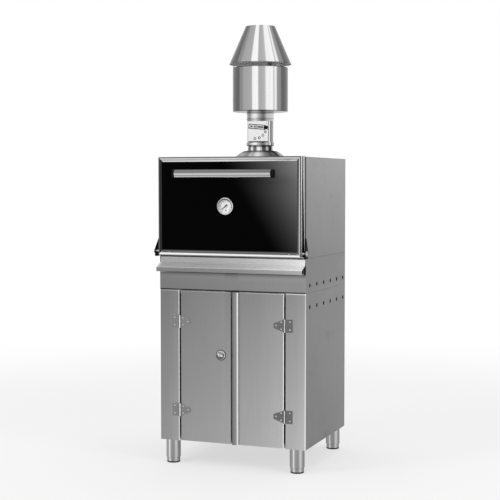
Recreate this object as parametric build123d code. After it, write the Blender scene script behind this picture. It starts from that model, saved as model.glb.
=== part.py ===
from build123d import *
import math
import os

os.makedirs("parts", exist_ok=True)

# Charcoal oven on a cabinet stand, in millimetres, +Z up, with its front towards -Y.
# The origin is on the floor, under the middle of the outer box.
# "Depth" below is measured back from the front face of the casing, and is negative in front of it.

# Driving dimensions
body_width = 780
body_depth = 665
leg_height = 120
cabinet_height = 770
base_height = 170
oven_height = 495
handle_reach = 132

# Sheet metal and clearances
sheet = 2
bend = 3
seat_gap = 0.3
pin_play = 0.05

# Legs and feet
sleeve_radius = 37
sleeve_wall = 1.5
sleeve_lift = 28
leg_inset_x = 55
leg_plate = 4
foot_radius = 34
pad_height = 7
foot_cup_height = 43
foot_stem_radius = 6
foot_stem_height = 50
nut_drop = 48
nut_height = 12

# Cabinet and its doors
stile_width = 105.5
hinge_gap = 7.5
meeting_gap = 2.5
door_depth = 20
door_base_gap = 2
door_top_gap = 4
rear_flange = 20
deck_flange = 20
grip_width = 38.5
grip_reach = 16
grip_wall = 2

# Cabinet door hinges
knuckle_radius = 5.5
knuckle_offset = 4.5
hinge_from_stile = 3.5
hinge_pin_radius = 3
hinge_length = 65
hinge_from_end = 157
leaf_thickness = 2.5
leaf_notch = 0.4
stile_leaf_reach = 42
door_leaf_reach = 57
door_leaf_tip = 24
leaf_screw_radius = 4.5
leaf_screw_rise = 2
screw_stile_x = 28
screw_stile_z = 19.5
screw_door_x = 17
screw_door_z = 17.5
screw_tip_x = 44

# Lock
lock_x = -56
lock_rise = 446
rosette_radius = 23
rosette_thickness = 3
lock_barrel_radius = 12
lock_barrel_back = 18
lock_knob_radius = 19
lock_knob_rise = 16
lock_spindle_radius = 6
cam_length = 72
cam_width = 16
cam_thickness = 3
key_slot_width = 2
key_slot_height = 9
key_slot_depth = 3

# Base band with the ash drawer
fascia_low_gap = 2
fascia_flange = 20
drawer_side_gap = 1.5
drawer_top_gap = 2
drawer_face = 27
drawer_slope_drop = 25
drawer_lip_height = 22
drawer_lip_reach = 53
drawer_top_return = 18
drawer_under_return = 33
tray_back_gap = 93
tray_side_gap = 8
tray_wall_height = 56
tray_front_height = 68
rail_leg = 24
rail_height = 16
vent_radius = 7.5
vent_count = 6
vent_first = 62
vent_last = 45.5
base_vent_rise = 36
cabinet_vent_drop = 70

# Oven casing, firebox and grills
bearer_height = 14
bearer_drop = 8
bearer_width = 30
bearer_inset = 60
frame_plate = 3
insulation_side = 50
insulation_back = 55
insulation_top = 41
firebox_wall = 6
mouth_side = 10
mouth_sill = 60
mouth_head = 10
seal_width = 12
seal_margin_x = 20
seal_margin_z = 2
seal_round = 4
seal_gap = 0.3
ash_slot_side = 110
ash_slot_inset = 100
charcoal_side = 90
charcoal_inset = 80
charcoal_thickness = 18
charcoal_slots = 13
charcoal_rib = 16
charcoal_border = 20
grill_levels = (124, 254)
grill_rail_leg = 20
grill_rail_sheet = 3
grill_front = 32
grill_back = 16
grill_thickness = 10
grill_slots = 28
grill_slot_width = 14
grill_border = 12
grill_play = 3

# Oven door
frame_side = 13
frame_low = 10
frame_rise = 2
frame_front = -41
frame_back = -16
rim_height = 3
rim_width = 10
hinge_plate_reach = 75
hinge_plate_low = 4
hinge_plate_high = 18
flange_side = 1
flange_low = 4
flange_rise = 3
flange_back = -12
window_side = 42
window_low = 78
window_head = 61
panel_side = 18
panel_low = 34
panel_head = 22
panel_thickness = 3
liner_lip = 11
liner_inset = 4
liner_side = 13
liner_reach = 9
door_pivot_depth = -28
door_pivot_rise = 26
door_pin_radius = 6
door_pin_reach = 22
ear_gap = 2.5
ear_width = 10
ear_depth = 38
ear_rise = 101
ear_shoulder = 38
ear_foot_thickness = 8
ear_foot_low = 52
ear_foot_high = 100
ear_foot_reach = 15
pin_head_radius = 8
pin_head_thickness = 4

# Door handle
handle_radius = 21
handle_wall = 2
handle_side = 125
handle_drop = 82
handle_cap = 12
cap_plug = 12
post_radius = 9
post_inset = 28

# Door thermometer
gauge_rise = 254
gauge_side = -10
gauge_radius = 42.5
gauge_depth = 19
gauge_wall = 2
gauge_lip = 4.5
gauge_back = 2.5
gauge_chamfer = 3
gauge_glass_thickness = 2
dial_thickness = 1
dial_pin_reach = 5
needle_thickness = 1
needle_length = 31
needle_tail = 11
needle_width = 3.4
needle_hub_radius = 4
needle_pin_radius = 1.5
needle_rest_angle = 232
probe_radius = 4
probe_play = 0.2
probe_length = 75

# Flue and damper
flue_depth = 408.5
flue_hole_play = 1
flue_wall = 2
spigot_radius = 63
spigot_rise = 95
flue_radius = 68
flue_low_rise = 65
bead_rise = 4.5
bead_height = 23
collar_rise = 197
collar_wall = 2
collar_bead_radius = 4
collar_bead_inset = 9
skirt_radius = 165
skirt_mid_radius = 120
skirt_mid_rise = 14
skirt_top_radius = 72
skirt_top_rise = 32
skirt_rise = 38
plate_gap = 7
plate_left = -41
plate_right = 72
plate_rise = 88
plate_height = 107
plate_return = 46
plate_boss_radius = 14
damper_rise = 165
blade_play = 2
blade_thickness = 2
shaft_radius = 6
shaft_tail = 3
index_radius = 62
index_hole_radius = 3.5
index_angles = (-5, -26.5, -47, -69, -92)
stop_angle = 16
stop_radius = 2.5
stop_height = 4
lever_rest_angle = 5
lever_gap = 1
lever_thickness = 3
lever_width = 17
lever_tail = 32
lever_tip = 70
lever_slot_height = 8
lever_slots = ((-26, -14), (14, 46))
lever_nut_radius = 9
lever_nut_height = 5
knob_radius = 9.5
knob_length = 14
knob_gap = 0.8
plunger_radius = 3

# Drum and hat
drum_rise = 245
drum_height = 228
drum_radius = 144.5
drum_wall = 1.5
drum_round = 5
baffle_radius = 105
baffle_rise = 100
baffle_thickness = 2
baffle_post_radius = 4
baffle_post_circle = 85
hat_gap = 18
hat_height = 197
hat_low_radius = 162.5
hat_high_radius = 77
hat_wall = 1.7
hat_rim = 6
hat_leg_width = 20
hat_leg_thickness = 3
hat_leg_play = 0.7
hat_leg_drop = 43
hat_leg_rise = 34
hat_tab_height = 10
ledge_reach = 9
ledge_thickness = 2
support_angles = (90, 210, 330)

# Levels and planes worked out from the values above
half = body_width / 2
inner_half = half - sheet
front_y = (handle_reach - body_depth) / 2
inside_back = body_depth - sheet - bend
cabinet_z = leg_height
base_z = cabinet_z + cabinet_height
oven_z = base_z + base_height
top_z = oven_z + oven_height
door_low = cabinet_z + door_base_gap
door_high = base_z - door_top_gap
stile_edge = half - stile_width
door_edge = stile_edge - hinge_gap
hinge_x = stile_edge - hinge_from_stile
hinge_levels = (door_low + hinge_from_end, door_high - hinge_from_end)
lock_z = door_low + lock_rise
vent_pitch = (body_depth - vent_first - vent_last) / (vent_count - 1)
drawer_high = oven_z - drawer_top_gap
drawer_low = drawer_high - drawer_face - drawer_slope_drop - drawer_lip_height
fascia_high = drawer_low - drawer_top_gap
rail_front = fascia_flange + 2 * sheet
rail_back = body_depth - insulation_back
tray_z = fascia_high + sheet + seat_gap
bearer_z = oven_z - bearer_drop
firebox_z = bearer_z + bearer_height
firebox_top = top_z - insulation_top
firebox_half = half - insulation_side
firebox_back = body_depth - insulation_back
mouth_half = firebox_half - mouth_side
mouth_low = firebox_z + mouth_sill
mouth_high = firebox_top - mouth_head
frame_half = half - frame_side
flange_half = half - flange_side
panel_half = frame_half - panel_side
panel_front = frame_front - panel_thickness
rim_front = frame_front - rim_height
window_half = frame_half - window_side
window_bottom = oven_z + window_low
window_top = top_z - window_head
pivot_z = oven_z + door_pivot_rise
ear_inner = flange_half + ear_gap
ear_outer = ear_inner + ear_width
handle_z = top_z - handle_drop
handle_depth = -handle_reach + handle_radius
handle_half = frame_half - handle_side
gauge_z = oven_z + gauge_rise
gauge_front = panel_front - gauge_depth
dial_radius = gauge_radius - gauge_wall
flue_y = front_y + flue_depth
bead_radius = flue_radius + bead_rise
collar_radius = flue_radius + collar_wall
plate_reach = flue_radius + plate_gap
blade_radius = flue_radius - flue_wall - blade_play
shaft_back = flue_radius + shaft_tail
damper_z = top_z + damper_rise
drum_low = top_z + drum_rise
drum_high = drum_low + drum_height
hat_low = drum_high + hat_gap
hat_high = hat_low + hat_height
lever_depth = flue_depth - plate_reach - lever_gap


def block(x, depth, z):
    """A block between two corners, each side given as (low, high), with depth behind the front face."""
    size = (x[1] - x[0], depth[1] - depth[0], z[1] - z[0])
    middle = ((x[0] + x[1]) / 2, front_y + (depth[0] + depth[1]) / 2, (z[0] + z[1]) / 2)
    return Pos(*middle) * Box(*size)


def rod(radius, start, end):
    """A round bar between two points."""
    axis = Vector(*end) - Vector(*start)
    plane = Plane(origin=start, z_dir=axis)
    return extrude(plane * Circle(radius), axis.length)


def turned(profile, x=0, y=0):
    """A piece turned about a vertical axis, from a closed profile of (radius, height)."""
    face = make_face(Plane.XZ * Polyline(*profile, close=True))
    return Pos(x, y, 0) * revolve(face, Axis.Z)


def turned_level(profile, x, z):
    """A piece turned about an axis that runs front to back, from (radius, depth)."""
    points = [(radius, front_y + depth) for radius, depth in profile]
    face = make_face(Polyline(*points, close=True))
    return Pos(x, 0, z) * revolve(face, Axis.Y)


def folded(points):
    """The section of a sheet folded through the points, with its thickness to their left."""
    corners = [Vector(*point) for point in points]
    runs = [(b - a).normalized() for a, b in zip(corners, corners[1:])]
    lefts = [Vector(-run.Y, run.X) for run in runs]
    inner = [corners[0] + lefts[0] * sheet]
    outer_radii = []
    inner_radii = []
    for index in range(1, len(corners) - 1):
        before = lefts[index - 1]
        after = lefts[index]
        inner.append(corners[index] + (before + after) * (sheet / (1 + before.dot(after))))
        turns_left = runs[index - 1].cross(runs[index]).Z > 0
        outer_radii.append(bend + sheet if turns_left else bend)
        inner_radii.append(bend if turns_left else bend + sheet)
    inner.append(corners[-1] + lefts[-1] * sheet)
    near = FilletPolyline(*corners, radius=outer_radii)
    far = FilletPolyline(*inner, radius=inner_radii)
    ends = [Line(corners[0], inner[0]), Line(corners[-1], inner[-1])]
    return make_face(near.edges() + far.edges() + ends)


def folded_upright(points, low, high):
    """A folded sheet that stands from low to high, its plan given as (x, depth)."""
    plan = folded([(x, front_y + depth) for x, depth in points])
    return extrude(Pos(0, 0, low) * plan, high - low, dir=(0, 0, 1))


def folded_across(points, reach):
    """A folded sheet that runs from -reach to +reach along X, its section given as (depth, z)."""
    section = folded([(front_y + depth, z) for depth, z in points])
    return extrude(Plane.YZ * section, reach, both=True)


def mirrored(piece):
    return mirror(piece, about=Plane.YZ)


def both_sides(piece):
    """Two like pieces, one on each side of the middle."""
    return Compound(children=[piece, mirrored(piece)])


def group(pieces):
    return Compound(children=list(pieces))


# Legs, feet and cabinet


def leg_centres():
    x = half - leg_inset_x
    near = front_y + sleeve_radius
    far = front_y + body_depth - sleeve_radius
    return {
        "front_left": (-x, near),
        "front_right": (x, near),
        "back_left": (-x, far),
        "back_right": (x, far),
    }


def leg_sleeve(x, y):
    """A round sleeve with a closed top and a threaded nut welded inside."""
    inner = sleeve_radius - sleeve_wall
    bore = foot_stem_radius + pin_play
    plate_bottom = leg_height - leg_plate
    nut_top = plate_bottom - nut_drop
    nut_bottom = nut_top - nut_height
    profile = [
        (0, plate_bottom),
        (inner, plate_bottom),
        (inner, nut_top),
        (bore, nut_top),
        (bore, nut_bottom),
        (inner, nut_bottom),
        (inner, sleeve_lift),
        (sleeve_radius, sleeve_lift),
        (sleeve_radius, leg_height),
        (0, leg_height),
    ]
    return turned(profile, x, y)


def foot(x, y):
    """A levelling foot: a steel cup with its threaded stem, on a rubber pad."""
    cup_top = pad_height + foot_cup_height
    stem_top = cup_top + foot_stem_height
    cup = turned(
        [
            (0, pad_height),
            (foot_radius, pad_height),
            (foot_radius, cup_top),
            (foot_stem_radius, cup_top),
            (foot_stem_radius, stem_top),
            (0, stem_top),
        ],
        x,
        y,
    )
    pad = turned([(0, 0), (foot_radius, 0), (foot_radius, pad_height), (0, pad_height)], x, y)
    return group([cup, pad])


def vent_holes(level):
    """Round bars across the whole width, one for each pair of side vents."""
    bars = []
    for index in range(vent_count):
        y = front_y + vent_first + index * vent_pitch
        bars.append(rod(vent_radius, (-half - 1, y, level), (half + 1, y, level)))
    return bars


def cabinet_side():
    """The right side panel, folded round to the front as the door stile and in at the back."""
    plan = [
        (stile_edge, door_depth),
        (stile_edge, 0),
        (half, 0),
        (half, body_depth),
        (half - rear_flange, body_depth),
    ]
    return folded_upright(plan, cabinet_z, base_z) - vent_holes(base_z - cabinet_vent_drop)


def cabinet_back():
    reach = inner_half - bend
    return block((-reach, reach), (body_depth - 2 * sheet, body_depth - sheet), (cabinet_z, base_z))


def cabinet_base():
    """The bottom shelf, with a lip that the doors close against."""
    stop = door_depth + sheet
    low = cabinet_z
    section = [(stop, low + deck_flange), (stop, low), (inside_back, low)]
    return folded_across(section, inner_half)


def cabinet_top():
    stop = door_depth + sheet
    section = [(inside_back, base_z), (stop, base_z), (stop, base_z - deck_flange)]
    return folded_across(section, inner_half)


def cabinet_door(inner_x, outer_x):
    """A door pan with its four edges folded back."""
    plan = [(inner_x, door_depth), (inner_x, 0), (outer_x, 0), (outer_x, door_depth)]
    pan = folded_upright(plan, door_low, door_high)
    between = (inner_x + sheet, outer_x - sheet)
    pan += block(between, (sheet / 2, door_depth), (door_low, door_low + sheet))
    pan += block(between, (sheet / 2, door_depth), (door_high - sheet, door_high))
    return pan


def left_door():
    y = front_y
    hole = rod(lock_barrel_radius, (lock_x, y - 1, lock_z), (lock_x, y + sheet + 1, lock_z))
    return cabinet_door(-door_edge, -meeting_gap) - hole


def right_door():
    return cabinet_door(meeting_gap, door_edge)


def grip_strip():
    """A hollow half-round strip down the free edge of the right door."""

    def half_round(inset):
        low = meeting_gap + inset
        high = meeting_gap + grip_width - inset
        crown = ((low + high) / 2, front_y - grip_reach + inset)
        arc = ThreePointArc((low, front_y), crown, (high, front_y))
        return make_face([arc.edge(), Line((high, front_y), (low, front_y)).edge()])

    section = half_round(0) - half_round(grip_wall)
    return extrude(Pos(0, 0, door_low) * section, door_high - door_low, dir=(0, 0, 1))


# Hinges and lock of the cabinet


def pin_bore(level, radius):
    y = front_y - knuckle_offset
    reach = hinge_length / 2 + 1
    return rod(radius, (hinge_x, y, level - reach), (hinge_x, y, level + reach))


def stile_leaf(level):
    """The fixed leaf on the right stile, with the upper and lower knuckles."""
    reach = hinge_length / 2
    third = hinge_length / 6
    clear = hinge_x + knuckle_radius + leaf_notch
    leaf = block((hinge_x, hinge_x + stile_leaf_reach), (-leaf_thickness, 0), (level - reach, level + reach))
    leaf -= block((hinge_x - 1, clear), (-leaf_thickness - 1, 1), (level - third, level + third))
    y = front_y - knuckle_offset
    for low, high in ((-reach, -third), (third, reach)):
        leaf += rod(knuckle_radius, (hinge_x, y, level + low), (hinge_x, y, level + high))
    return leaf - pin_bore(level, hinge_pin_radius)


def door_leaf(level):
    """The tapered leaf on the right door, with the middle knuckle."""
    reach = hinge_length / 2
    third = hinge_length / 6
    tip = door_leaf_tip / 2
    outline = [
        (hinge_x, level - reach),
        (hinge_x, level + reach),
        (hinge_x - door_leaf_reach, level + tip),
        (hinge_x - door_leaf_reach, level - tip),
    ]
    plane = Plane(origin=(0, front_y, 0), x_dir=(1, 0, 0), z_dir=(0, -1, 0))
    leaf = extrude(plane * make_face(Polyline(*outline, close=True)), leaf_thickness)
    clear = hinge_x - knuckle_radius - leaf_notch
    for low, high in ((-reach - 1, -third + seat_gap), (third - seat_gap, reach + 1)):
        leaf -= block((clear, hinge_x + 1), (-leaf_thickness - 1, 1), (level + low, level + high))
    y = front_y - knuckle_offset
    barrel_reach = third - seat_gap
    leaf += rod(knuckle_radius, (hinge_x, y, level - barrel_reach), (hinge_x, y, level + barrel_reach))
    return leaf - pin_bore(level, hinge_pin_radius + pin_play)


def hinge_pin(level):
    y = front_y - knuckle_offset
    reach = hinge_length / 2
    return rod(hinge_pin_radius, (hinge_x, y, level - reach), (hinge_x, y, level + reach))


def leaf_screw(x, z):
    """A domed screw head on a hinge leaf."""
    low = -leaf_thickness
    high = low - leaf_screw_rise
    profile = [
        (0, low),
        (leaf_screw_radius, low),
        (leaf_screw_radius, low - leaf_screw_rise / 3),
        (leaf_screw_radius * 0.6, high + leaf_screw_rise / 6),
        (0, high),
    ]
    return turned_level(profile, x, z)


def stile_screws():
    return [
        leaf_screw(hinge_x + screw_stile_x, level + rise)
        for level in hinge_levels
        for rise in (-screw_stile_z, screw_stile_z)
    ]


def door_screws():
    screws = []
    for level in hinge_levels:
        for rise in (-screw_door_z, screw_door_z):
            screws.append(leaf_screw(hinge_x - screw_door_x, level + rise))
        screws.append(leaf_screw(hinge_x - screw_tip_x, level))
    return screws


def lock_body():
    """The round plate on the left door and the barrel behind it."""
    y = front_y
    plate = rod(rosette_radius, (lock_x, y, lock_z), (lock_x, y - rosette_thickness, lock_z))
    barrel = rod(lock_barrel_radius, (lock_x, y, lock_z), (lock_x, y + lock_barrel_back, lock_z))
    front = y - rosette_thickness - 1
    back = y + lock_barrel_back + 1
    bore = rod(lock_spindle_radius + pin_play, (lock_x, front, lock_z), (lock_x, back, lock_z))
    return plate + barrel - bore


def lock_knob():
    """The domed knob with its spindle and key slot, and the cam on the spindle's end."""
    low = -rosette_thickness - seat_gap
    high = low - lock_knob_rise
    cam_front = door_depth + sheet
    cam_back = cam_front + cam_thickness
    dome = turned_level(
        [
            (0, low),
            (lock_knob_radius, low),
            (lock_knob_radius, low - lock_knob_rise * 0.35),
            (lock_knob_radius * 0.75, low - lock_knob_rise * 0.8),
            (lock_knob_radius * 0.35, high),
            (0, high),
        ],
        lock_x,
        lock_z,
    )
    tail = front_y + cam_back
    dome += rod(lock_spindle_radius, (lock_x, front_y + low - 1, lock_z), (lock_x, tail, lock_z))
    slot = (lock_x - key_slot_width / 2, lock_x + key_slot_width / 2)
    slot_z = (lock_z - key_slot_height / 2, lock_z + key_slot_height / 2)
    dome -= block(slot, (high - 1, high + key_slot_depth), slot_z)
    side = (lock_x - cam_width / 2, lock_x + cam_width / 2)
    cam = block(side, (cam_front, cam_back), (lock_z - cam_width / 2, lock_z - cam_width / 2 + cam_length))
    cam -= rod(lock_spindle_radius, (lock_x, front_y, lock_z), (lock_x, tail + 1, lock_z))
    return group([dome, cam])


# Base band, drawer and rails


def base_shell():
    """The wrap of the base band: both sides and the back in one folded sheet, with its vents."""
    plan = [(half, 0), (half, body_depth), (-half, body_depth), (-half, 0)]
    return folded_upright(plan, base_z, oven_z) - vent_holes(base_z + base_vent_rise)


def base_fascia():
    low = base_z + fascia_low_gap
    back = fascia_flange + sheet
    return folded_across([(back, fascia_high), (0, fascia_high), (0, low), (back, low)], inner_half)


def tray_rail():
    """The right drawer rail, an angle on the side of the base band."""
    depth = (rail_front, rail_back)
    ledge = block((inner_half - rail_leg, inner_half), depth, (fascia_high, fascia_high + sheet))
    web = block((inner_half - sheet, inner_half), depth, (fascia_high - rail_height, fascia_high + sheet))
    return ledge + web


def drawer_front():
    """The full-width drawer front, sloped out to a lip that is pulled from below."""
    slope_low = drawer_low + drawer_lip_height
    section = [
        (drawer_top_return, drawer_high),
        (0, drawer_high),
        (0, drawer_high - drawer_face),
        (-drawer_lip_reach, slope_low),
        (-drawer_lip_reach, drawer_low),
        (drawer_under_return - drawer_lip_reach, drawer_low),
    ]
    return folded_across(section, inner_half - drawer_side_gap)


def ash_tray():
    """The tray behind the drawer front, with a taller front wall that the front is fixed to."""
    reach = inner_half - tray_side_gap
    depth = (sheet, body_depth - tray_back_gap)
    inside = (depth[0] + sheet, depth[1] - sheet)
    tray = block((-reach, reach), depth, (tray_z, tray_z + tray_wall_height))
    tray += block((-reach, reach), (depth[0], inside[0]), (tray_z, tray_z + tray_front_height))
    high = tray_z + tray_front_height + 1
    return tray - block((-reach + sheet, reach - sheet), inside, (tray_z + sheet, high))


# Oven casing and firebox


def casing_wrap():
    plan = [(half, 0), (half, body_depth), (-half, body_depth), (-half, 0)]
    return folded_upright(plan, oven_z, top_z - sheet)


def flue_hole(low, high):
    radius = spigot_radius + flue_hole_play
    return rod(radius, (0, flue_y, low), (0, flue_y, high))


def casing_top():
    lid = block((-half, half), (0, body_depth), (top_z - sheet, top_z))
    return lid - flue_hole(top_z - sheet - 1, top_z + 1)


def front_frame():
    plate = block((-inner_half, inner_half), (0, frame_plate), (oven_z, top_z - sheet))
    return plate - block((-mouth_half, mouth_half), (-1, frame_plate + 1), (mouth_low, mouth_high))


def mouth_seal():
    """The heat-proof rope seal round the mouth, just clear of the closed door."""
    inner = mouth_half + seal_margin_x
    low = mouth_low - seal_margin_z
    high = mouth_high + seal_margin_z
    depth = (flange_back + seal_gap, 0)
    outer = inner + seal_width
    ring = block((-outer, outer), depth, (low - seal_width, high + seal_width))
    ring = fillet(ring.edges().filter_by(Axis.Y), seal_width / 2)
    ring -= block((-inner, inner), (depth[0] - 1, 1), (low, high))
    front = ring.faces().sort_by(Axis.Y)[0]
    return fillet(front.edges(), seal_round)


def bearers():
    """Two cross bars that carry the firebox between the side sheets."""
    z = (bearer_z, firebox_z)
    near = (bearer_inset, bearer_inset + bearer_width)
    far = (firebox_back - bearer_inset - bearer_width, firebox_back - bearer_inset)
    return group([block((-inner_half, inner_half), depth, z) for depth in (near, far)])


def firebox():
    """The welded firebox, open to the mouth, with an ash opening below and a flue hole above."""
    wall = firebox_wall
    inner = firebox_half - wall
    box = block((-firebox_half, firebox_half), (frame_plate, firebox_back), (firebox_z, firebox_top))
    inside_z = (firebox_z + wall, firebox_top - wall)
    box -= block((-inner, inner), (frame_plate - 1, firebox_back - wall), inside_z)
    slot = firebox_half - ash_slot_side
    depth = (ash_slot_inset, firebox_back - ash_slot_inset)
    box -= block((-slot, slot), depth, (firebox_z - 1, firebox_z + wall + 1))
    hole = rod(spigot_radius - flue_wall, (0, flue_y, firebox_top - wall - 1), (0, flue_y, firebox_top + 1))
    return box - hole


def insulation_wrap():
    """The mineral wool round the sides, back and top of the firebox."""
    wool = block((-inner_half, inner_half), (frame_plate, inside_back), (firebox_z, top_z - sheet))
    firebox_x = (-firebox_half, firebox_half)
    wool -= block(firebox_x, (frame_plate - 1, firebox_back), (firebox_z - 1, firebox_top))
    return wool - flue_hole(firebox_top - 1, top_z)


def charcoal_grate():
    """The cast grate over the ash opening, in two columns of slots."""
    reach = firebox_half - charcoal_side
    front = charcoal_inset
    back = firebox_back - charcoal_inset
    low = firebox_z + firebox_wall
    high = low + charcoal_thickness
    pitch = (back - front - 2 * charcoal_border + charcoal_rib) / charcoal_slots
    outline = block((-reach, reach), (front, back), (low, high))
    cuts = []
    for index in range(charcoal_slots):
        start = front + charcoal_border + index * pitch
        depth = (start, start + pitch - charcoal_rib)
        cuts.append(block((charcoal_rib / 2, reach - charcoal_border), depth, (low - 1, high + 1)))
        cuts.append(block((charcoal_border - reach, -charcoal_rib / 2), depth, (low - 1, high + 1)))
    return outline - cuts


def grill_rail(level):
    """The right rail of a grill level, an angle on the firebox wall."""
    wall = firebox_half - firebox_wall
    depth = (grill_front - 2, firebox_back - grill_back)
    low = firebox_z + level
    ledge = block((wall - grill_rail_leg, wall), depth, (low, low + grill_rail_sheet))
    web = block((wall - grill_rail_sheet, wall), depth, (low, low + grill_rail_leg))
    return ledge + web


def grill(level):
    """A cooking grill of parallel bars with a border and one cross bar."""
    reach = firebox_half - firebox_wall - grill_rail_sheet - grill_play
    front = grill_front
    back = firebox_back - grill_back - grill_play
    low = firebox_z + level + grill_rail_sheet
    high = low + grill_thickness
    middle = (front + back) / 2
    first = -reach + grill_border
    pitch = (2 * reach - 2 * grill_border - grill_slot_width) / (grill_slots - 1)
    cuts = []
    for index in range(grill_slots):
        side = (first + index * pitch, first + index * pitch + grill_slot_width)
        cuts.append(block(side, (front + grill_border, middle - grill_border / 2), (low - 1, high + 1)))
        cuts.append(block(side, (middle + grill_border / 2, back - grill_border), (low - 1, high + 1)))
    return block((-reach, reach), (front, back), (low, high)) - cuts


# Oven door


def ring(half_width, depth, z, border):
    """A rectangular frame of the given border, seen from the front."""
    outer = block((-half_width, half_width), depth, z)
    inner = half_width - border
    return outer - block((-inner, inner), (depth[0] - 1, depth[1] + 1), (z[0] + border, z[1] - border))


def door_frame():
    """The polished door frame: raised rim, wider flange behind, and a hinge plate in each lower corner."""
    low = oven_z + frame_low
    high = top_z + frame_rise
    frame = block((-frame_half, frame_half), (frame_front, frame_back), (low, high))
    flange_z = (oven_z + flange_low, top_z + flange_rise)
    frame += block((-flange_half, flange_half), (frame_back, flange_back), flange_z)
    frame += ring(frame_half, (rim_front, frame_front), (low, high), rim_width)
    frame -= block((-window_half, window_half), (rim_front - 1, 0), (window_bottom, window_top))
    plate_x = (frame_half - hinge_plate_reach, frame_half)
    plate_z = (low + hinge_plate_low, low + hinge_plate_high)
    plate = block(plate_x, (rim_front, frame_front), plate_z)
    frame += [plate, mirrored(plate)]
    y = front_y + door_pivot_depth
    for side in (-1, 1):
        start = (side * (frame_half - door_pin_reach), y, pivot_z)
        frame -= rod(door_pin_radius + pin_play, start, (side * (half + 1), y, pivot_z))
    return frame


def door_panel():
    z = (oven_z + panel_low, top_z - panel_head)
    panel = block((-panel_half, panel_half), (panel_front, frame_front), z)
    return panel - probe_hole()


def probe_hole():
    start = (gauge_side, front_y + panel_front - 1, gauge_z)
    return rod(probe_radius + probe_play, start, (gauge_side, front_y, gauge_z))


def door_insulation():
    board = block((-window_half, window_half), (frame_front, flange_back), (window_bottom, window_top))
    return board - probe_hole()


def door_liner():
    """The pressed inner sheet of the door, which stands into the mouth."""
    lip = window_half + liner_lip
    inset = liner_inset
    reach = window_half - liner_side
    back = flange_back + liner_reach
    lip_z = (window_bottom - liner_lip, window_top + liner_lip)
    liner = block((-lip, lip), (flange_back, flange_back + sheet), lip_z)
    liner += block((-reach, reach), (flange_back, back), (window_bottom + inset, window_top - inset))
    inner = reach - sheet
    hollow = (window_bottom + inset + sheet, window_top - inset - sheet)
    liner -= block((-inner, inner), (flange_back - 1, back - sheet), hollow)
    return liner - probe_hole()


def door_bracket():
    """The right door bracket: a tapered ear that holds the hinge pin, with its foot on the casing."""
    outline = [
        (ear_inner, oven_z),
        (ear_outer - 1, oven_z),
        (ear_outer, oven_z + ear_shoulder),
        (ear_inner + 1, oven_z + ear_rise),
        (ear_inner, oven_z + ear_rise),
    ]
    plane = Plane(origin=(0, front_y, 0), x_dir=(1, 0, 0), z_dir=(0, -1, 0))
    ear = extrude(plane * make_face(Polyline(*outline, close=True)), ear_depth)
    inner = half - ear_foot_reach
    foot_z = (oven_z + ear_foot_low, oven_z + ear_foot_high)
    ear += block((inner, ear_inner + 1), (-ear_foot_thickness, 0), foot_z)
    y = front_y + door_pivot_depth
    return ear - rod(door_pin_radius, (half, y, pivot_z), (ear_outer + 1, y, pivot_z))


def door_pin():
    y = front_y + door_pivot_depth
    start = (frame_half - door_pin_reach, y, pivot_z)
    pin = rod(door_pin_radius, start, (ear_outer, y, pivot_z))
    return pin + rod(pin_head_radius, (ear_outer, y, pivot_z), (ear_outer + pin_head_thickness, y, pivot_z))


def handle_tube():
    y = front_y + handle_depth
    ends = ((-handle_half, y, handle_z), (handle_half, y, handle_z))
    return rod(handle_radius, *ends) - rod(handle_radius - handle_wall, *ends)


def handle_end_cap():
    y = front_y + handle_depth
    start = (handle_half, y, handle_z)
    head = rod(handle_radius, start, (handle_half + handle_cap, y, handle_z))
    return head + rod(handle_radius - handle_wall, (handle_half - cap_plug, y, handle_z), start)


def handle_post():
    """The right post, from the door panel to the back of the handle tube."""
    x = handle_half - post_inset
    y = front_y + handle_depth
    post = rod(post_radius, (x, front_y + panel_front, handle_z), (x, y, handle_z))
    return post - rod(handle_radius, (x - 2 * post_radius, y, handle_z), (x + 2 * post_radius, y, handle_z))


# Thermometer in the door


def gauge_case():
    """The cup of the thermometer with its bezel, and the probe through the door."""
    profile = [
        (0, panel_front),
        (gauge_radius, panel_front),
        (gauge_radius, gauge_front + gauge_chamfer),
        (gauge_radius - gauge_chamfer, gauge_front),
        (gauge_radius - gauge_lip, gauge_front),
        (gauge_radius - gauge_lip, gauge_front + gauge_wall),
        (dial_radius, gauge_front + gauge_wall),
        (dial_radius, panel_front - gauge_back),
        (0, panel_front - gauge_back),
    ]
    tail = front_y + panel_front + probe_length
    head = front_y + panel_front - 1
    probe = rod(probe_radius, (gauge_side, head, gauge_z), (gauge_side, tail, gauge_z))
    return turned_level(profile, gauge_side, gauge_z) + probe


def gauge_dial():
    back = front_y + panel_front - gauge_back
    disc = rod(dial_radius, (gauge_side, back, gauge_z), (gauge_side, back - dial_thickness, gauge_z))
    start = (gauge_side, back + 1, gauge_z)
    return disc - rod(needle_pin_radius + pin_play, start, (gauge_side, back - 2, gauge_z))


def gauge_glass():
    front = front_y + gauge_front + gauge_wall
    tail = front + gauge_glass_thickness
    return rod(dial_radius, (gauge_side, front, gauge_z), (gauge_side, tail, gauge_z))


def gauge_needle():
    """The needle with its hub and pin, drawn pointing up and then turned to its cold place."""
    back = front_y + panel_front - gauge_back
    front = back - dial_pin_reach
    outline = [
        (-needle_width, -needle_tail),
        (needle_width, -needle_tail),
        (needle_width / 2, 0),
        (0, needle_length),
        (-needle_width / 2, 0),
    ]
    plane = Plane(origin=(gauge_side, front, gauge_z), x_dir=(1, 0, 0), z_dir=(0, -1, 0))
    needle = extrude(plane * make_face(Polyline(*outline, close=True)), needle_thickness)
    crown = front - needle_thickness
    needle += rod(needle_hub_radius, (gauge_side, front, gauge_z), (gauge_side, crown - 1, gauge_z))
    needle += rod(needle_pin_radius, (gauge_side, back, gauge_z), (gauge_side, crown, gauge_z))
    return needle.rotate(Axis((gauge_side, 0, gauge_z), (0, -1, 0)), needle_rest_angle - 90)


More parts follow.
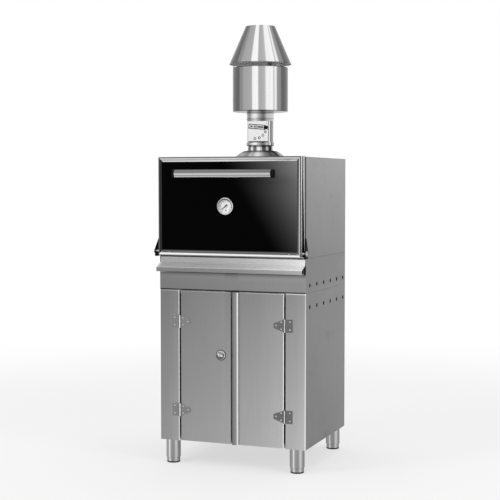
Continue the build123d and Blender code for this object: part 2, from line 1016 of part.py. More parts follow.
# Flue, damper, drum and hat


def flue_spigot():
    inner = spigot_radius - flue_wall
    low = firebox_top
    high = top_z + spigot_rise
    return turned([(inner, low), (spigot_radius, low), (spigot_radius, high), (inner, high)], 0, flue_y)


def flue_skirt():
    """The cone round the foot of the flue, with a flat foot and a short neck."""
    wall = flue_wall
    profile = [
        (skirt_radius, top_z),
        (skirt_radius, top_z + wall),
        (skirt_mid_radius, top_z + skirt_mid_rise),
        (skirt_top_radius, top_z + skirt_top_rise),
        (spigot_radius + wall, top_z + skirt_rise),
        (spigot_radius, top_z + skirt_rise),
        (spigot_radius, top_z + skirt_rise - wall),
        (skirt_top_radius - wall, top_z + skirt_top_rise - wall),
        (skirt_mid_radius - wall, top_z + skirt_mid_rise - wall),
        (skirt_radius - 4 * wall, top_z),
    ]
    return turned(profile, 0, flue_y)


def flue_pipe():
    """The damper length of the flue, with a swaged bead that sits round the spigot."""
    low = top_z + flue_low_rise
    bead = low + bead_height
    inner = flue_radius - flue_wall
    lift = bead_radius - flue_radius
    profile = [
        (spigot_radius, low),
        (flue_radius, low),
        (bead_radius, low + lift),
        (bead_radius, bead - lift),
        (flue_radius, bead),
        (flue_radius, drum_low),
        (inner, drum_low),
        (inner, bead),
        (spigot_radius, bead - lift),
    ]
    pipe = turned(profile, 0, flue_y)
    reach = flue_radius + 1
    return pipe - rod(shaft_radius + pin_play, (0, flue_y - reach, damper_z), (0, flue_y + reach, damper_z))


def flue_collar():
    """The band between the damper and the drum, with a bead at each end."""
    low = top_z + collar_rise
    collar = turned([(0, low), (collar_radius, low), (collar_radius, drum_low), (0, drum_low)], 0, flue_y)
    for level in (low + collar_bead_inset, drum_low - collar_bead_inset):
        bead = Pos(collar_radius - 1, 0, level) * (Plane.XZ * Circle(collar_bead_radius))
        collar += Pos(0, flue_y, 0) * revolve(bead, Axis.Z)
    return collar - rod(flue_radius, (0, flue_y, low - 1), (0, flue_y, drum_low + 1))


def on_damper(angle, radius):
    """The x and z of a point round the damper's axis, its angle up from the right."""
    turn = math.radians(angle)
    return radius * math.cos(turn), damper_z + radius * math.sin(turn)


def damper_plate():
    """The index plate in front of the flue, on two webs and a boss, with its stop stud."""
    front = flue_depth - plate_reach
    z = (top_z + plate_rise, top_z + plate_rise + plate_height)
    plate = block((plate_left, plate_right), (front, front + sheet), z)
    plate += block((plate_left, plate_left + sheet), (front, flue_depth), z)
    plate += block((plate_return, plate_return + sheet), (front, flue_depth), z)
    y = front_y + front
    plate += rod(plate_boss_radius, (0, y, damper_z), (0, flue_y, damper_z))
    plate -= rod(flue_radius, (0, flue_y, z[0] - 1), (0, flue_y, z[1] + 1))
    plate -= rod(shaft_radius + pin_play, (0, y - 1, damper_z), (0, flue_y, damper_z))
    for angle in index_angles:
        x, height = on_damper(angle, index_radius)
        plate -= rod(index_hole_radius, (x, y - 1, height), (x, y + sheet + 1, height))
    x, height = on_damper(stop_angle, index_radius)
    return plate + rod(stop_radius, (x, y, height), (x, y - stop_height, height))


def damper_blade():
    """The flap in the flue, upright when open, and its shaft out to the lever."""
    side = blade_thickness / 2
    blade = rod(blade_radius, (-side, flue_y, damper_z), (side, flue_y, damper_z))
    start = front_y + lever_depth - lever_thickness - lever_nut_height
    return blade + rod(shaft_radius, (0, start, damper_z), (0, flue_y + shaft_back, damper_z))


def damper_lever():
    """The slotted lever on the shaft, and the nut that holds it."""
    depth = (lever_depth - lever_thickness, lever_depth)
    low = damper_z - lever_width / 2
    lever = block((-lever_tail, lever_tip), depth, (low, low + lever_width))
    lever = fillet(lever.edges().filter_by(Axis.Y), lever_width / 4)
    slot_z = (damper_z - lever_slot_height / 2, damper_z + lever_slot_height / 2)
    for side in lever_slots:
        lever -= block(side, (depth[0] - 1, depth[1] + 1), slot_z)
    y = front_y + depth[0]
    back = front_y + depth[1] + 1
    lever -= rod(shaft_radius, (0, y - 1, damper_z), (0, back, damper_z))
    lever -= rod(plunger_radius + pin_play, (index_radius, y - 1, damper_z), (index_radius, back, damper_z))
    nut = rod(lever_nut_radius, (0, y, damper_z), (0, y - lever_nut_height, damper_z))
    nut -= rod(shaft_radius, (0, y + 1, damper_z), (0, y - lever_nut_height - 1, damper_z))
    axis = Axis((0, flue_y, damper_z), (0, 1, 0))
    return group([lever.rotate(axis, lever_rest_angle), nut])


def damper_plunger():
    """The sprung knob on the lever, its pin just clear of the index plate."""
    x, z = on_damper(-lever_rest_angle, index_radius)
    tip = front_y + flue_depth - plate_reach - seat_gap
    knob_back = front_y + lever_depth - lever_thickness - knob_gap
    knob = rod(knob_radius, (x, knob_back, z), (x, knob_back - knob_length, z))
    knob = fillet(knob.edges().sort_by(Axis.Y)[0], knob_radius / 3)
    return knob + rod(plunger_radius, (x, tip, z), (x, knob_back - 1, z))


def around_flue(piece):
    """Copies of a piece, one at each support angle round the flue."""
    return [Pos(0, flue_y, 0) * Rot(0, 0, angle) * piece for angle in support_angles]


def centred_box(x, half_width, z):
    """A block that lies along X, centred on Y, about the flue's own axis."""
    middle = ((x[0] + x[1]) / 2, 0, (z[0] + z[1]) / 2)
    return Pos(*middle) * Box(x[1] - x[0], 2 * half_width, z[1] - z[0])


def drum_shell():
    """The open drum, with three ledges inside that carry the hat."""
    hole = flue_radius - flue_wall
    inner = drum_radius - drum_wall
    floor = drum_low + drum_wall
    drum = turned([(hole, drum_low), (drum_radius, drum_low), (drum_radius, drum_high), (hole, drum_high)])
    drum = fillet(drum.edges().group_by(Axis.Z)[0].sort_by(SortBy.LENGTH)[-1], drum_round)
    hollow = turned([(0, floor), (inner, floor), (inner, drum_high + 1), (0, drum_high + 1)])
    hollow = fillet(hollow.edges().group_by(Axis.Z)[0], drum_round - drum_wall)
    drum = Pos(0, flue_y, 0) * (drum - hollow)
    ledge_z = drum_high - hat_leg_drop - seat_gap
    ledge_low = ledge_z - ledge_thickness
    ledge = centred_box((inner - ledge_reach, drum_radius), hat_leg_width / 2 + 1, (ledge_low, ledge_z))
    ledge &= rod(drum_radius - drum_wall / 2, (0, 0, ledge_low), (0, 0, ledge_z))
    return drum + around_flue(ledge)


def drum_baffle():
    """The round plate that spreads the smoke, on three posts from the drum's floor."""
    low = drum_low + drum_wall
    plate_z = low + baffle_rise
    baffle = rod(baffle_radius, (0, flue_y, plate_z), (0, flue_y, plate_z + baffle_thickness))
    post = rod(baffle_post_radius, (baffle_post_circle, 0, low), (baffle_post_circle, 0, plate_z + 1))
    return baffle + around_flue(post)


def hat_cone():
    """The open cone over the drum, with three legs that stand on the drum's ledges."""
    rim = hat_rim
    shell = turned(
        [
            (hat_low_radius, hat_low),
            (hat_high_radius, hat_high),
            (hat_high_radius - rim, hat_high),
            (hat_high_radius - rim, hat_high - hat_wall),
            (hat_high_radius - hat_wall, hat_high - hat_wall),
            (hat_low_radius - hat_wall, hat_low),
        ],
        0,
        flue_y,
    )
    inside = turned(
        [
            (0, drum_low),
            (hat_low_radius - hat_wall, drum_low),
            (hat_low_radius - hat_wall, hat_low),
            (hat_high_radius - hat_wall, hat_high - hat_wall),
            (0, hat_high - hat_wall),
        ]
    )
    outer = drum_radius - drum_wall - hat_leg_play
    inner = outer - hat_leg_thickness
    low = drum_high - hat_leg_drop
    high = hat_low + hat_leg_rise
    leg = centred_box((inner, outer), hat_leg_width / 2, (low, high))
    leg += centred_box((inner, hat_low_radius), hat_leg_width / 2, (high - hat_tab_height, high))
    return group([shell] + around_flue(leg & inside))


centres = leg_centres()
nodes = {
    "leg_sleeves": group([leg_sleeve(*centre) for centre in centres.values()]),
    "cabinet_right_side": cabinet_side(),
    "cabinet_left_side": mirrored(cabinet_side()),
    "cabinet_back": cabinet_back(),
    "cabinet_base": cabinet_base(),
    "cabinet_top": cabinet_top(),
    "stile_hinges": group(both_sides(make(z)) for make in (stile_leaf, hinge_pin) for z in hinge_levels),
    "stile_hinge_screws": group([both_sides(screw) for screw in stile_screws()]),
    "left_door": left_door(),
    "left_door_hinge_leaves": group([mirrored(door_leaf(level)) for level in hinge_levels]),
    "left_door_hinge_screws": group([mirrored(screw) for screw in door_screws()]),
    "right_door": right_door(),
    "right_door_hinge_leaves": group([door_leaf(level) for level in hinge_levels]),
    "right_door_hinge_screws": group(door_screws()),
    "grip_strip": grip_strip(),
    "lock_body": lock_body(),
    "lock_knob": lock_knob(),
    "base_shell": base_shell(),
    "base_fascia": base_fascia(),
    "tray_rails": both_sides(tray_rail()),
    "drawer_front": drawer_front(),
    "ash_tray": ash_tray(),
    "casing_wrap": casing_wrap(),
    "casing_top": casing_top(),
    "front_frame": front_frame(),
    "mouth_seal": mouth_seal(),
    "firebox_bearers": bearers(),
    "firebox": firebox(),
    "insulation_wrap": insulation_wrap(),
    "charcoal_grate": charcoal_grate(),
    "grill_rails": group([both_sides(grill_rail(level)) for level in grill_levels]),
    "lower_grill": grill(grill_levels[0]),
    "upper_grill": grill(grill_levels[1]),
    "door_brackets": both_sides(door_bracket()),
    "door_hinge_pins": both_sides(door_pin()),
    "door_frame": door_frame(),
    "door_panel": door_panel(),
    "door_insulation": door_insulation(),
    "door_liner": door_liner(),
    "handle_tube": handle_tube(),
    "handle_mounts": group([both_sides(handle_end_cap()), both_sides(handle_post())]),
    "gauge_case": gauge_case(),
    "gauge_dial": gauge_dial(),
    "gauge_glass": gauge_glass(),
    "gauge_needle": gauge_needle(),
    "flue_spigot": flue_spigot(),
    "flue_skirt": flue_skirt(),
    "flue_pipe": flue_pipe(),
    "flue_collar": flue_collar(),
    "damper_plate": damper_plate(),
    "damper_blade": damper_blade(),
    "damper_lever": damper_lever(),
    "damper_plunger": damper_plunger(),
    "drum_shell": drum_shell(),
    "drum_baffle": drum_baffle(),
    "hat_cone": hat_cone(),
}
for place, centre in centres.items():
    nodes["foot_" + place] = foot(*centre)

for name, piece in nodes.items():
    export_step(piece, f"parts/{name}.step")
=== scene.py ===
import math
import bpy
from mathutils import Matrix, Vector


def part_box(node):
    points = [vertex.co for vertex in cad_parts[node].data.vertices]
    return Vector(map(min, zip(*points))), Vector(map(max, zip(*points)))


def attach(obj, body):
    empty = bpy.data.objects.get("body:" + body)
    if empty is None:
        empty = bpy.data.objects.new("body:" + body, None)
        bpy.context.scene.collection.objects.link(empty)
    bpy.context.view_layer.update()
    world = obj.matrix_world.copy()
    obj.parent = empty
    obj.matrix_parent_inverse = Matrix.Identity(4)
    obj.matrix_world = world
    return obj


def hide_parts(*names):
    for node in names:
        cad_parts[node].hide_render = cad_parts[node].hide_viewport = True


bl_info = {
    "name": "Charcoal Oven",
    "version": (1, 0, 0),
    "blender": (4, 5, 0),
    "location": "View3D > Sidebar > Charcoal Oven",
    "description": "Builds the finished charcoal oven, piece by piece, over its measured frame",
    "category": "Add Mesh",
}

import bmesh
import bpy
from mathutils import Matrix, Vector

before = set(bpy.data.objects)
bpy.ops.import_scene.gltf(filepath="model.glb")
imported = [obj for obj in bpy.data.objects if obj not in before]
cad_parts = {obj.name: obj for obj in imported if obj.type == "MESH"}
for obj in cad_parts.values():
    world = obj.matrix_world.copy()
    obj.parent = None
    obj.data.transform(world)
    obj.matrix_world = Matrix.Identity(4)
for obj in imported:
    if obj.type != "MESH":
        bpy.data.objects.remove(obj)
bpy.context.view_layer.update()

# Places and sizes that several pieces share, in metres
MM = 0.001
HALF_WIDTH = 0.39
CABINET_LOW, BAND_LOW, BAND_TOP = 0.122, 0.89, 1.06
FRONT = -0.2665
FRAME_SIDE, FRAME_LOW, FRAME_HIGH = 0.377, 1.07, 1.557
DOOR_AXIS = Vector((0, -0.2945, 1.086))
GAUGE = Vector((-0.01, FRONT, 1.314))
LOCK = Vector((-0.056, FRONT, 0.568))
FLUE = Vector((0, 0.142, 0))
DAMPER = FLUE + Vector((0, 0, 1.72))
PLATE_FACE = 0.067
INDEX_RADIUS = 0.062
VENT_LEVELS, VENT_RADIUS = (0.82, 0.926), 0.009
VENT_PLACES = [-0.2045 + 0.1115 * step for step in range(6)]
VENT_ROW = (-0.214, 0.362)

# Border strips of the index plate, as (left, low, right, high); its holes and the hat's legs, in degrees
PLATE_BORDER = (
    (-0.041, 1.643, 0.072, 1.6445), (-0.041, 1.7485, 0.072, 1.75), (-0.041, 1.643, -0.0403, 1.75),
    (0.0708, 1.643, 0.072, 1.75),
)
INDEX_ANGLES = (-5, -26.5, -47, -69, -92)
SUPPORTS = (90, 210, 330)

# How far the oven door's pins reach in behind the edge of its frame, in millimetres
PIN_REACH = 22

# Screws of the oven door's hinge plates: their places across and their height, in metres
PLATE_SCREWS, PLATE_SCREW_HEIGHT = (-0.361, -0.318, 0.318, 0.361), 1.081

# The dial's scale: radii of its ticks and numbers, its face and its range; the needle's turn and growth
TICK_RADIUS, NUMBER_RADIUS, DIAL_FACE = 0.0365, 0.0265, FRONT - 0.04753
SCALE_START, SCALE_SWEEP = math.radians(232), math.radians(270)
DEGREES_A_NUMBER, TICKS_A_NUMBER = 50, 5
NEEDLE_TURN, NEEDLE_GROWTH = math.radians(13), 0.9

# Share of a turn that brings the middle of a turned piece's painted reflection bands to the right of its front, or of
# a tube's
FACING, TUBE_FACING = 0.4425, -0.25

# Faces round small, usual and large turned pieces, and steps in a rounded corner
FEW, MANY, MOST = 32, 72, 120
CORNER_STEPS = 5
SHARP = math.radians(38)
FACE_FRONT = Matrix.Rotation(math.radians(90), 4, "X")

# Each lamp: name, place, the point it faces, width and height in metres, watts
LAMPS = (
    ("Key Softbox", (-3.2, -3.6, 3.4), (0, 0, 1.1), (1.6, 2.2), 60),
    ("Fill Softbox", (4.2, -1.6, 2.6), (0, 0, 1.0), (1.6, 2.2), 45),
    ("Top Softbox", (0, 0.6, 4.6), (0, 0, 1.0), (2.4, 2.4), 40),
)


def colour(name, default, description):
    return bpy.props.FloatVectorProperty(
        name=name, description=description, default=default, subtype="COLOR", size=3, min=0, max=1
    )


def length(name, default, description):
    return bpy.props.FloatProperty(name=name, description=description, default=default, unit="LENGTH", min=0)


def amount(name, default, description):
    return bpy.props.FloatProperty(name=name, description=description, default=default, min=0)


def rotation(name, degrees, description):
    return bpy.props.FloatProperty(name=name, description=description, default=math.radians(degrees), unit="ROTATION")


def count(name, default, description, least):
    return bpy.props.IntProperty(name=name, description=description, default=default, min=least)


class SheetProperties(bpy.types.PropertyGroup):
    """Sheet steel of the cabinet, the base band, the drawer and the casing."""

    cabinet: colour("Sheet", (1.0, 1.0, 1.012), "Tint of the satin sheet of the cabinet and the casing")
    drawer: colour("Drawer", (1.0, 1.0, 1.01), "Tint of the satin sheet of the drawer front")
    hinge: colour("Hinges", (0.155, 0.155, 0.158), "Pressed steel of the cabinet hinges")
    strip: colour("Grip strip", (1.0, 1.0, 1.01), "Tint of the half-round strip on the right door")
    leg: colour("Leg", (1.0, 1.0, 1.01), "Tint of the turned leg tubes and foot cups")
    rubber: colour("Foot pad", (0.012, 0.012, 0.013), "Rubber under the feet")
    edge: length("Sheet edge", 0.0007, "Rounding of the cut edges of a sheet")
    grain: amount("Grain", 0.09, "Depth of the brushed grain in the colour")


class DoorProperties(bpy.types.PropertyGroup):
    """Oven door, handle, seal and thermometer."""

    enamel: colour("Enamel", (0.0004, 0.0004, 0.0005), "Gloss black of the door panel")
    # The enamel sheen is a painted reflection in the panel's colour
    glow: colour("Enamel sheen", (0.24, 0.24, 0.242), "Pale sheen at the panel's upper right")
    polish: colour("Polished steel", (0.97, 0.97, 0.98), "Polished door frame, hinge pins and bezel")
    handle: colour("Handle", (1.0, 1.0, 1.01), "Tint of the satin handle tube")
    moulded: colour("Moulded black", (0.004, 0.004, 0.0045), "End caps and damper knob")
    bracket: colour("Brackets", (0.008, 0.008, 0.0085), "Painted hinge brackets")
    rope: colour("Rope seal", (0.035, 0.034, 0.033), "Braided rope round the mouth")
    dial: colour("Dial", (0.97, 0.97, 0.96), "Printed face of the thermometer")
    print: colour("Dial print", (0.03, 0.03, 0.035), "Ticks, numbers and needle")
    tick_count: count("Ticks", 51, "Ticks round the dial", 2)
    numeral: length("Numbers", 0.0062, "Height of the dial's numbers")
    strand: length("Rope strand", 0.0032, "Radius of each strand of the seal")


class FlueProperties(bpy.types.PropertyGroup):
    """Flue, damper, drum and hat."""

    sheet: colour("Rolled sheet", (0.96, 0.96, 0.97), "Brightest tone of the rolled steel")
    plate: colour("Damper plate", (0.86, 0.86, 0.87), "Laser-cut index plate and lever")
    steps: count("Facets", 144, "Faces round a turned piece", 24)


class StudioProperties(bpy.types.PropertyGroup):
    """Floor, lamps and camera."""

    floor: colour("Floor", (0.93, 0.93, 0.93), "Pale floor")
    place: bpy.props.FloatVectorProperty(
        name="Camera place", description="Where the camera stands", default=(2.25, -5.84, 1.431),
        subtype="TRANSLATION", unit="LENGTH",
    )
    tilt: rotation("Tilt", 86.81, "Camera tilt from upright")
    turn: rotation("Turn", 21.1, "Camera turn to the right of the front")
    lens: amount("Lens", 87.34, "Focal length in millimetres on a 36 mm sensor")
    lamps: amount("Lamps", 1.0, "Share of the lamps' usual power")
    sky: amount("Room light", 0.55, "Strength of the even light in the room")


class Wiring:
    """Adds nodes to one tree; each input is given as a value or as another node's socket."""

    def __init__(self, tree):
        self.tree = tree

    def add(self, kind, inputs=None, **settings):
        node = self.tree.nodes.new(kind)
        for name, value in settings.items():
            setattr(node, name, value)
        for socket, given in (inputs or {}).items():
            if isinstance(given, bpy.types.NodeSocket):
                self.tree.links.new(given, node.inputs[socket])
            else:
                node.inputs[socket].default_value = given
        return node

    def out(self, kind, inputs=None, **settings):
        """The first output of a new node."""
        return self.add(kind, inputs, **settings).outputs[0]

    def maths(self, operation, first, second=0.0, third=0.0):
        return self.out("ShaderNodeMath", {0: first, 1: second, 2: third}, operation=operation)

    def times(self, first, *others):
        for other in others:
            first = self.maths("MULTIPLY", first, other)
        return first

    def plus(self, first, second):
        return self.maths("ADD", first, second)

    def less(self, first, second):
        return self.maths("SUBTRACT", first, second)

    def scaled(self, value, by, base):
        """A value times one number, and another added."""
        return self.maths("MULTIPLY_ADD", value, by, base)

    def size(self, value):
        return self.maths("ABSOLUTE", value)

    def towards(self, part, sign=1.0):
        """How far a direction's part points one way, and nothing where it points the other way."""
        return self.maths("MAXIMUM", self.times(part, sign), 0.0)

    def between(self, share, first, second):
        """The first value where the share is nothing, the second where it is one."""
        return self.scaled(share, self.less(second, first), first)

    def blend(self, share, first, second):
        return self.add("ShaderNodeMix", {0: share, 6: first, 7: second}, data_type="RGBA").outputs[2]

    def span(self, value, low, high, to_low=0.0, to_high=1.0, kind="SMOOTHSTEP"):
        inputs = {0: value, 1: low, 2: high, 3: to_low, 4: to_high}
        return self.out("ShaderNodeMapRange", inputs, interpolation_type=kind)

    def spot(self, output="Object"):
        """The place of a point on the piece, or its outward direction."""
        return self.add("ShaderNodeTexCoord").outputs[output]

    def axes(self, output="Object"):
        return self.add("ShaderNodeSeparateXYZ", {0: self.spot(output)}).outputs

    def joined(self, x=0.0, y=0.0, z=0.0):
        return self.out("ShaderNodeCombineXYZ", {0: x, 1: y, 2: z})

    def drawn(self, scale, rotation=(0, 0, 0)):
        """Places on the piece, turned and drawn out along each axis."""
        return self.out("ShaderNodeMapping", {"Vector": self.spot(), "Rotation": rotation, "Scale": scale})

    def noise(self, vector, scale, detail=2.0, roughness=0.5):
        inputs = {"Vector": vector, "Scale": scale, "Detail": detail, "Roughness": roughness}
        return self.out("ShaderNodeTexNoise", inputs)

    def tones(self, value, stops):
        """A tone read from stops of (value, tone), as across a moulding."""
        low, high = stops[0][0], stops[-1][0]
        node = self.add("ShaderNodeValToRGB", {0: self.span(value, low, high, kind="LINEAR")})
        elements = node.color_ramp.elements
        for place, _ in stops[1:-1]:
            elements.new((place - low) / (high - low))
        for element, (_, tone) in zip(elements, stops):
            element.color = (tone, tone, tone, 1)
        return node.outputs[0]

    def relief(self, height, strength, distance=0.0003):
        return self.out("ShaderNodeBump", {"Height": height, "Strength": strength, "Distance": distance})


def shared(name, inputs, *outputs):
    """Makes a function build a shader node group, once, and place it in a material with its own values."""

    def wrap(build):
        def place(w, **values):
            if name not in bpy.data.node_groups:
                tree = bpy.data.node_groups.new(name, "ShaderNodeTree")
                for label, (kind, default) in inputs.items():
                    socket = tree.interface.new_socket(label, in_out="INPUT", socket_type="NodeSocket" + kind)
                    socket.default_value = default
                for label in outputs:
                    tree.interface.new_socket(label, in_out="OUTPUT", socket_type="NodeSocketFloat")
                inner = Wiring(tree)
                inner.add("NodeGroupOutput", build(inner, inner.add("NodeGroupInput").outputs))
            given = {label: values.get(label, default) for label, (_, default) in inputs.items()}
            return w.add("ShaderNodeGroup", given, node_tree=bpy.data.node_groups[name]).outputs

        return place

    return wrap


@shared("Brushed Grain", {"Stretch": ("Vector", (900, 900, 6))}, "Grain", "Cloud")
def brushed_grain(w, given):
    """Brushed lines, drawn out by Stretch, and a slow cloud over the sheet."""
    fine = w.noise(w.drawn(given["Stretch"]), 1.0, 4.0, 0.65)
    return {"Grain": w.span(fine, 0.3, 0.7), "Cloud": w.span(w.noise(w.spot(), 3.0), 0.3, 0.7)}


@shared("Handling Marks", {"Amount": ("Float", 1.0)}, "Smears")
def handling_marks(w, given):
    """Wiped patches and faint smears on a polished or enamelled face."""
    patch = w.span(w.noise(w.spot(), 4.0, 3.0), 0.42, 0.7)
    smear = w.span(w.noise(w.drawn((9, 9, 26), (0.3, 0.5, 0.2)), 1.0, 5.0, 0.6), 0.45, 0.75)
    return {"Smears": w.times(patch, smear, given["Amount"])}


@shared("Rolled Sheen", {"Turn": ("Float", 0.0)}, "Across", "Lines")
def rolled_sheen(w, given):
    """How far round the front of a rolled piece a point is, in degrees from its middle, and fine lines along it."""
    turn = w.add("ShaderNodeSeparateXYZ", {0: w.out("ShaderNodeUVMap", uv_map="Round")}).outputs
    sway = w.scaled(w.noise(w.spot(), 2.2, 1.0), 0.012, -0.006)
    half_turns = w.times(w.plus(w.plus(turn[0], given["Turn"]), sway), 2.0)
    lines = w.noise(w.joined(w.times(turn[0], 260.0), w.times(turn[1], 2.0)), 1.0, 3.0, 0.6)
    return {"Across": w.scaled(w.maths("FRACT", half_turns), 180.0, -90.0), "Lines": w.span(lines, 0.3, 0.7)}


@shared("Painted Fold Light", {}, "Pale", "Dark")
def fold_light_and_shade(w, given):
    """Painted highlights along folds and edges that turn to the right or upwards, painted shade along the ones that
    turn away.
    """
    out = w.axes("Normal")
    front = w.towards(out[1], -1.0)
    pale = w.plus(w.times(w.towards(out[0]), 2.0), w.times(w.towards(out[2]), 3.0))
    dark = w.plus(w.towards(out[0], -1.0), w.towards(out[2], -1.0))
    return {"Pale": w.times(pale, front), "Dark": w.times(dark, front)}


@shared("Soot", {"Amount": ("Float", 1.0)}, "Soot", "Crust")
def soot_clouds(w, given):
    """Soot that gathers in clouds, with a fine dry crust."""
    cloud = w.span(w.noise(w.spot(), 7.0, 5.0, 0.62), 0.35, 0.62)
    crust = w.noise(w.spot(), 420.0, 3.0, 0.7)
    mask = w.times(w.plus(cloud, w.times(crust, 0.4)), given["Amount"])
    return {"Soot": w.maths("MINIMUM", mask, 1.0), "Crust": crust}


@shared("Pebbled Skin", {"Scale": ("Float", 900.0)}, "Pebble")
def pebbled_skin(w, given):
    """A fine pebbled surface, as on moulded plastic, paint, rubber and castings."""
    cells = w.add("ShaderNodeTexVoronoi", {"Vector": w.spot(), "Scale": given["Scale"]}).outputs["Distance"]
    return {"Pebble": w.plus(cells, w.noise(w.spot(), given["Scale"]))}


# Painted reflection bands round a turned piece, as stops of (degrees from the middle of the front, tone)
FLUE_REFLECTIONS = (
    (-90, 0.14), (-76, 0.11), (-49.5, 0.13), (-46.5, 0.26), (-40, 0.27), (-37, 0.38), (-33, 0.39), (-18, 0.44),
    (-16, 0.95), (-6, 0.97), (-3, 0.42), (9, 0.5), (12, 0.9), (26, 0.95), (28.5, 0.5), (31, 0.9), (34, 0.85),
    (37, 0.32), (46, 0.27), (48, 0.13), (74, 0.12), (90, 0.14),
)
SPIGOT_REFLECTIONS = (
    (-90, 0.5), (-75, 0.15), (-54, 0.14), (-50, 0.3), (-46, 0.3), (-45, 0.95), (-40, 0.95), (-38, 0.65), (-35, 0.62),
    (-33, 0.2), (-24, 0.14), (-20, 0.18), (-17, 0.3), (-15, 0.86), (-2, 0.98), (-0.5, 0.5), (2, 0.5), (4, 0.72),
    (6, 0.7), (8, 0.08), (25, 0.09), (27, 0.39), (34, 0.62), (37, 0.3), (42, 0.12), (46, 0.03), (54, 0.004),
    (60, 0.05), (66, 0.38), (90, 0.4),
)
COLLAR_REFLECTIONS = (
    (-90, 0.3), (-52, 0.3), (-46, 0.42), (-40, 0.64), (-30, 0.9), (-21, 0.94), (-17, 0.86), (-12.5, 0.67), (-8, 0.51),
    (0, 0.34), (8, 0.2), (12.5, 0.19), (17, 0.25), (21, 0.3), (25.6, 0.49), (30, 0.6), (60, 0.66), (90, 0.55),
)
PIPE_REFLECTIONS = COLLAR_REFLECTIONS[:16] + (
    (34, 0.3), (40, 0.48), (44, 0.85), (47, 0.85), (50, 0.12), (54, 0.12), (58, 0.33), (90, 0.33),
)
SKIRT_REFLECTIONS = (
    (-90, 0.67), (-75, 0.41), (-54, 0.59), (-42, 0.47), (-34, 0.3), (-24.5, 0.65), (-18, 0.5), (-12.5, 0.85),
    (-5, 1.0), (2, 0.7), (11, 0.31), (20, 0.2), (22.5, 0.14), (29, 0.1), (36, 0.16), (43, 0.08), (49, 0.045),
    (57, 0.43), (69, 0.7), (90, 0.6),
)
LEG_REFLECTIONS = (
    (-90, 0.2), (-70, 0.22), (-55, 0.38), (-38, 0.38), (-33, 0.86), (-27, 0.86), (-23, 0.43), (-12, 0.32), (4, 0.29),
    (12, 0.37), (19, 0.6), (31, 0.61), (38, 0.39), (52, 0.28), (70, 0.21), (90, 0.2),
)
HANDLE_REFLECTIONS = (
    (-90, 0.06), (-75, 0.14), (-50, 0.15), (-46, 0.24), (-33, 0.24), (-30, 0.15), (-18, 0.15), (-14, 0.36),
    (-3, 0.38), (0, 0.66), (11, 0.66), (14, 0.3), (27, 0.3), (30, 0.54), (46, 0.52), (50, 0.4), (64, 0.38),
    (72, 0.07), (90, 0.05),
)

# Painted light, shade and reflection bands across or up a flat piece, as stops of (metres, tone)
SIDE_PAINTED_LIGHT = ((0.12, 0.15), (0.4, 0.16), (1.06, 0.16), (1.33, 0.222), (1.555, 0.286))
DRAWER_PAINTED_LIGHT = (
    (0.984, 0.235), (1.0055, 0.235), (1.0065, 0.5), (1.031, 0.58), (1.032, 0.47), (1.05, 0.52), (1.058, 0.75),
)
STRIP_PAINTED_LIGHT = (
    (0.0025, 0.2), (0.01, 0.18), (0.012, 0.2), (0.019, 0.22), (0.023, 0.27), (0.029, 0.28), (0.0325, 0.3),
    (0.034, 0.85), (0.0395, 0.85), (0.0405, 0.2), (0.041, 0.2),
)
FRAME_REFLECTIONS_ACROSS = (
    (-0.389, 0.5), (-0.378, 0.5), (-0.377, 0.16), (-0.372, 0.16), (-0.371, 0.03), (-0.358, 0.03), (0.358, 0.09),
    (0.3605, 0.15), (0.3635, 0.15), (0.3645, 0.085), (0.368, 0.085), (0.3685, 0.97), (0.3733, 0.97), (0.3738, 0.05),
    (0.377, 0.05), (0.3775, 0.13), (0.379, 0.13), (0.3798, 0.72), (0.3846, 0.72), (0.3855, 0.6), (0.389, 0.6),
)
FRAME_REFLECTIONS_UPRIGHT = (
    (1.064, 0.3), (1.069, 0.35), (1.07, 0.95), (1.0785, 0.97), (1.08, 0.11), (1.084, 0.11), (1.0855, 0.18),
    (1.089, 0.18), (1.09, 0.05), (1.094, 0.05), (1.5335, 0.12), (1.5345, 0.8), (1.5395, 0.8), (1.5403, 0.42),
    (1.5448, 0.42), (1.5455, 0.78), (1.55, 0.78), (1.551, 0.2), (1.555, 0.2), (1.5556, 0.05), (1.558, 0.05),
)
FRAME_REFLECTIONS_DEPTH = ((-0.3105, 0.05), (-0.3065, 0.05), (-0.3048, 0.97), (-0.2905, 0.97), (-0.2898, 0.13), (-0.2785, 0.13))

# Painted reflections of a polished piece, as tones by how far it faces up and to the right
CHROME_REFLECTIONS = (
    (-1.2, 0.5), (-0.75, 0.25), (-0.35, 0.08), (-0.12, 0.2), (-0.04, 0.7), (0.2, 0.92), (0.38, 0.3), (0.5, 0.12),
    (0.62, 0.6), (0.85, 0.97), (1.2, 0.9),
)


# Finishes


def emptied(owner):
    """The wiring of a new material or world, its usual nodes taken out."""
    owner.use_nodes = True
    owner.node_tree.nodes.clear()
    return Wiring(owner.node_tree)


def material(name, build, **settings):
    """A node material, made once: build gives the sources of the surface shader's sockets, the rest are set here."""
    if name in bpy.data.materials:
        return bpy.data.materials[name]
    made = bpy.data.materials.new(name)
    w = emptied(made)
    shader = w.add("ShaderNodeBsdfPrincipled")
    w.add("ShaderNodeOutputMaterial", {"Surface": shader.outputs[0]})
    for socket, value in settings.items():
        shader.inputs[socket.replace("_", " ")].default_value = value
    for socket, source in build(w).items():
        w.tree.links.new(source, shader.inputs[socket])
    return made


def ends(w, tone, level, height, strength, distance=0.0003, **more):
    """What most finishes feed: a colour made lighter or darker by a level, and the relief of their skin."""
    toned = w.out("ShaderNodeVectorMath", {0: tuple(tone), "Scale": level}, operation="SCALE")
    return {"Base Color": toned, "Normal": w.relief(height, strength, distance), **more}


def worn_level(w, level, stretch, grain):
    """A tone with the brushed grain and its slow clouds over it, and the grain itself."""
    lines = brushed_grain(w, Stretch=stretch)
    level = w.times(level, w.scaled(lines["Grain"], grain, 1 - grain / 2), w.scaled(lines["Cloud"], 0.03, 0.985))
    return level, lines["Grain"]


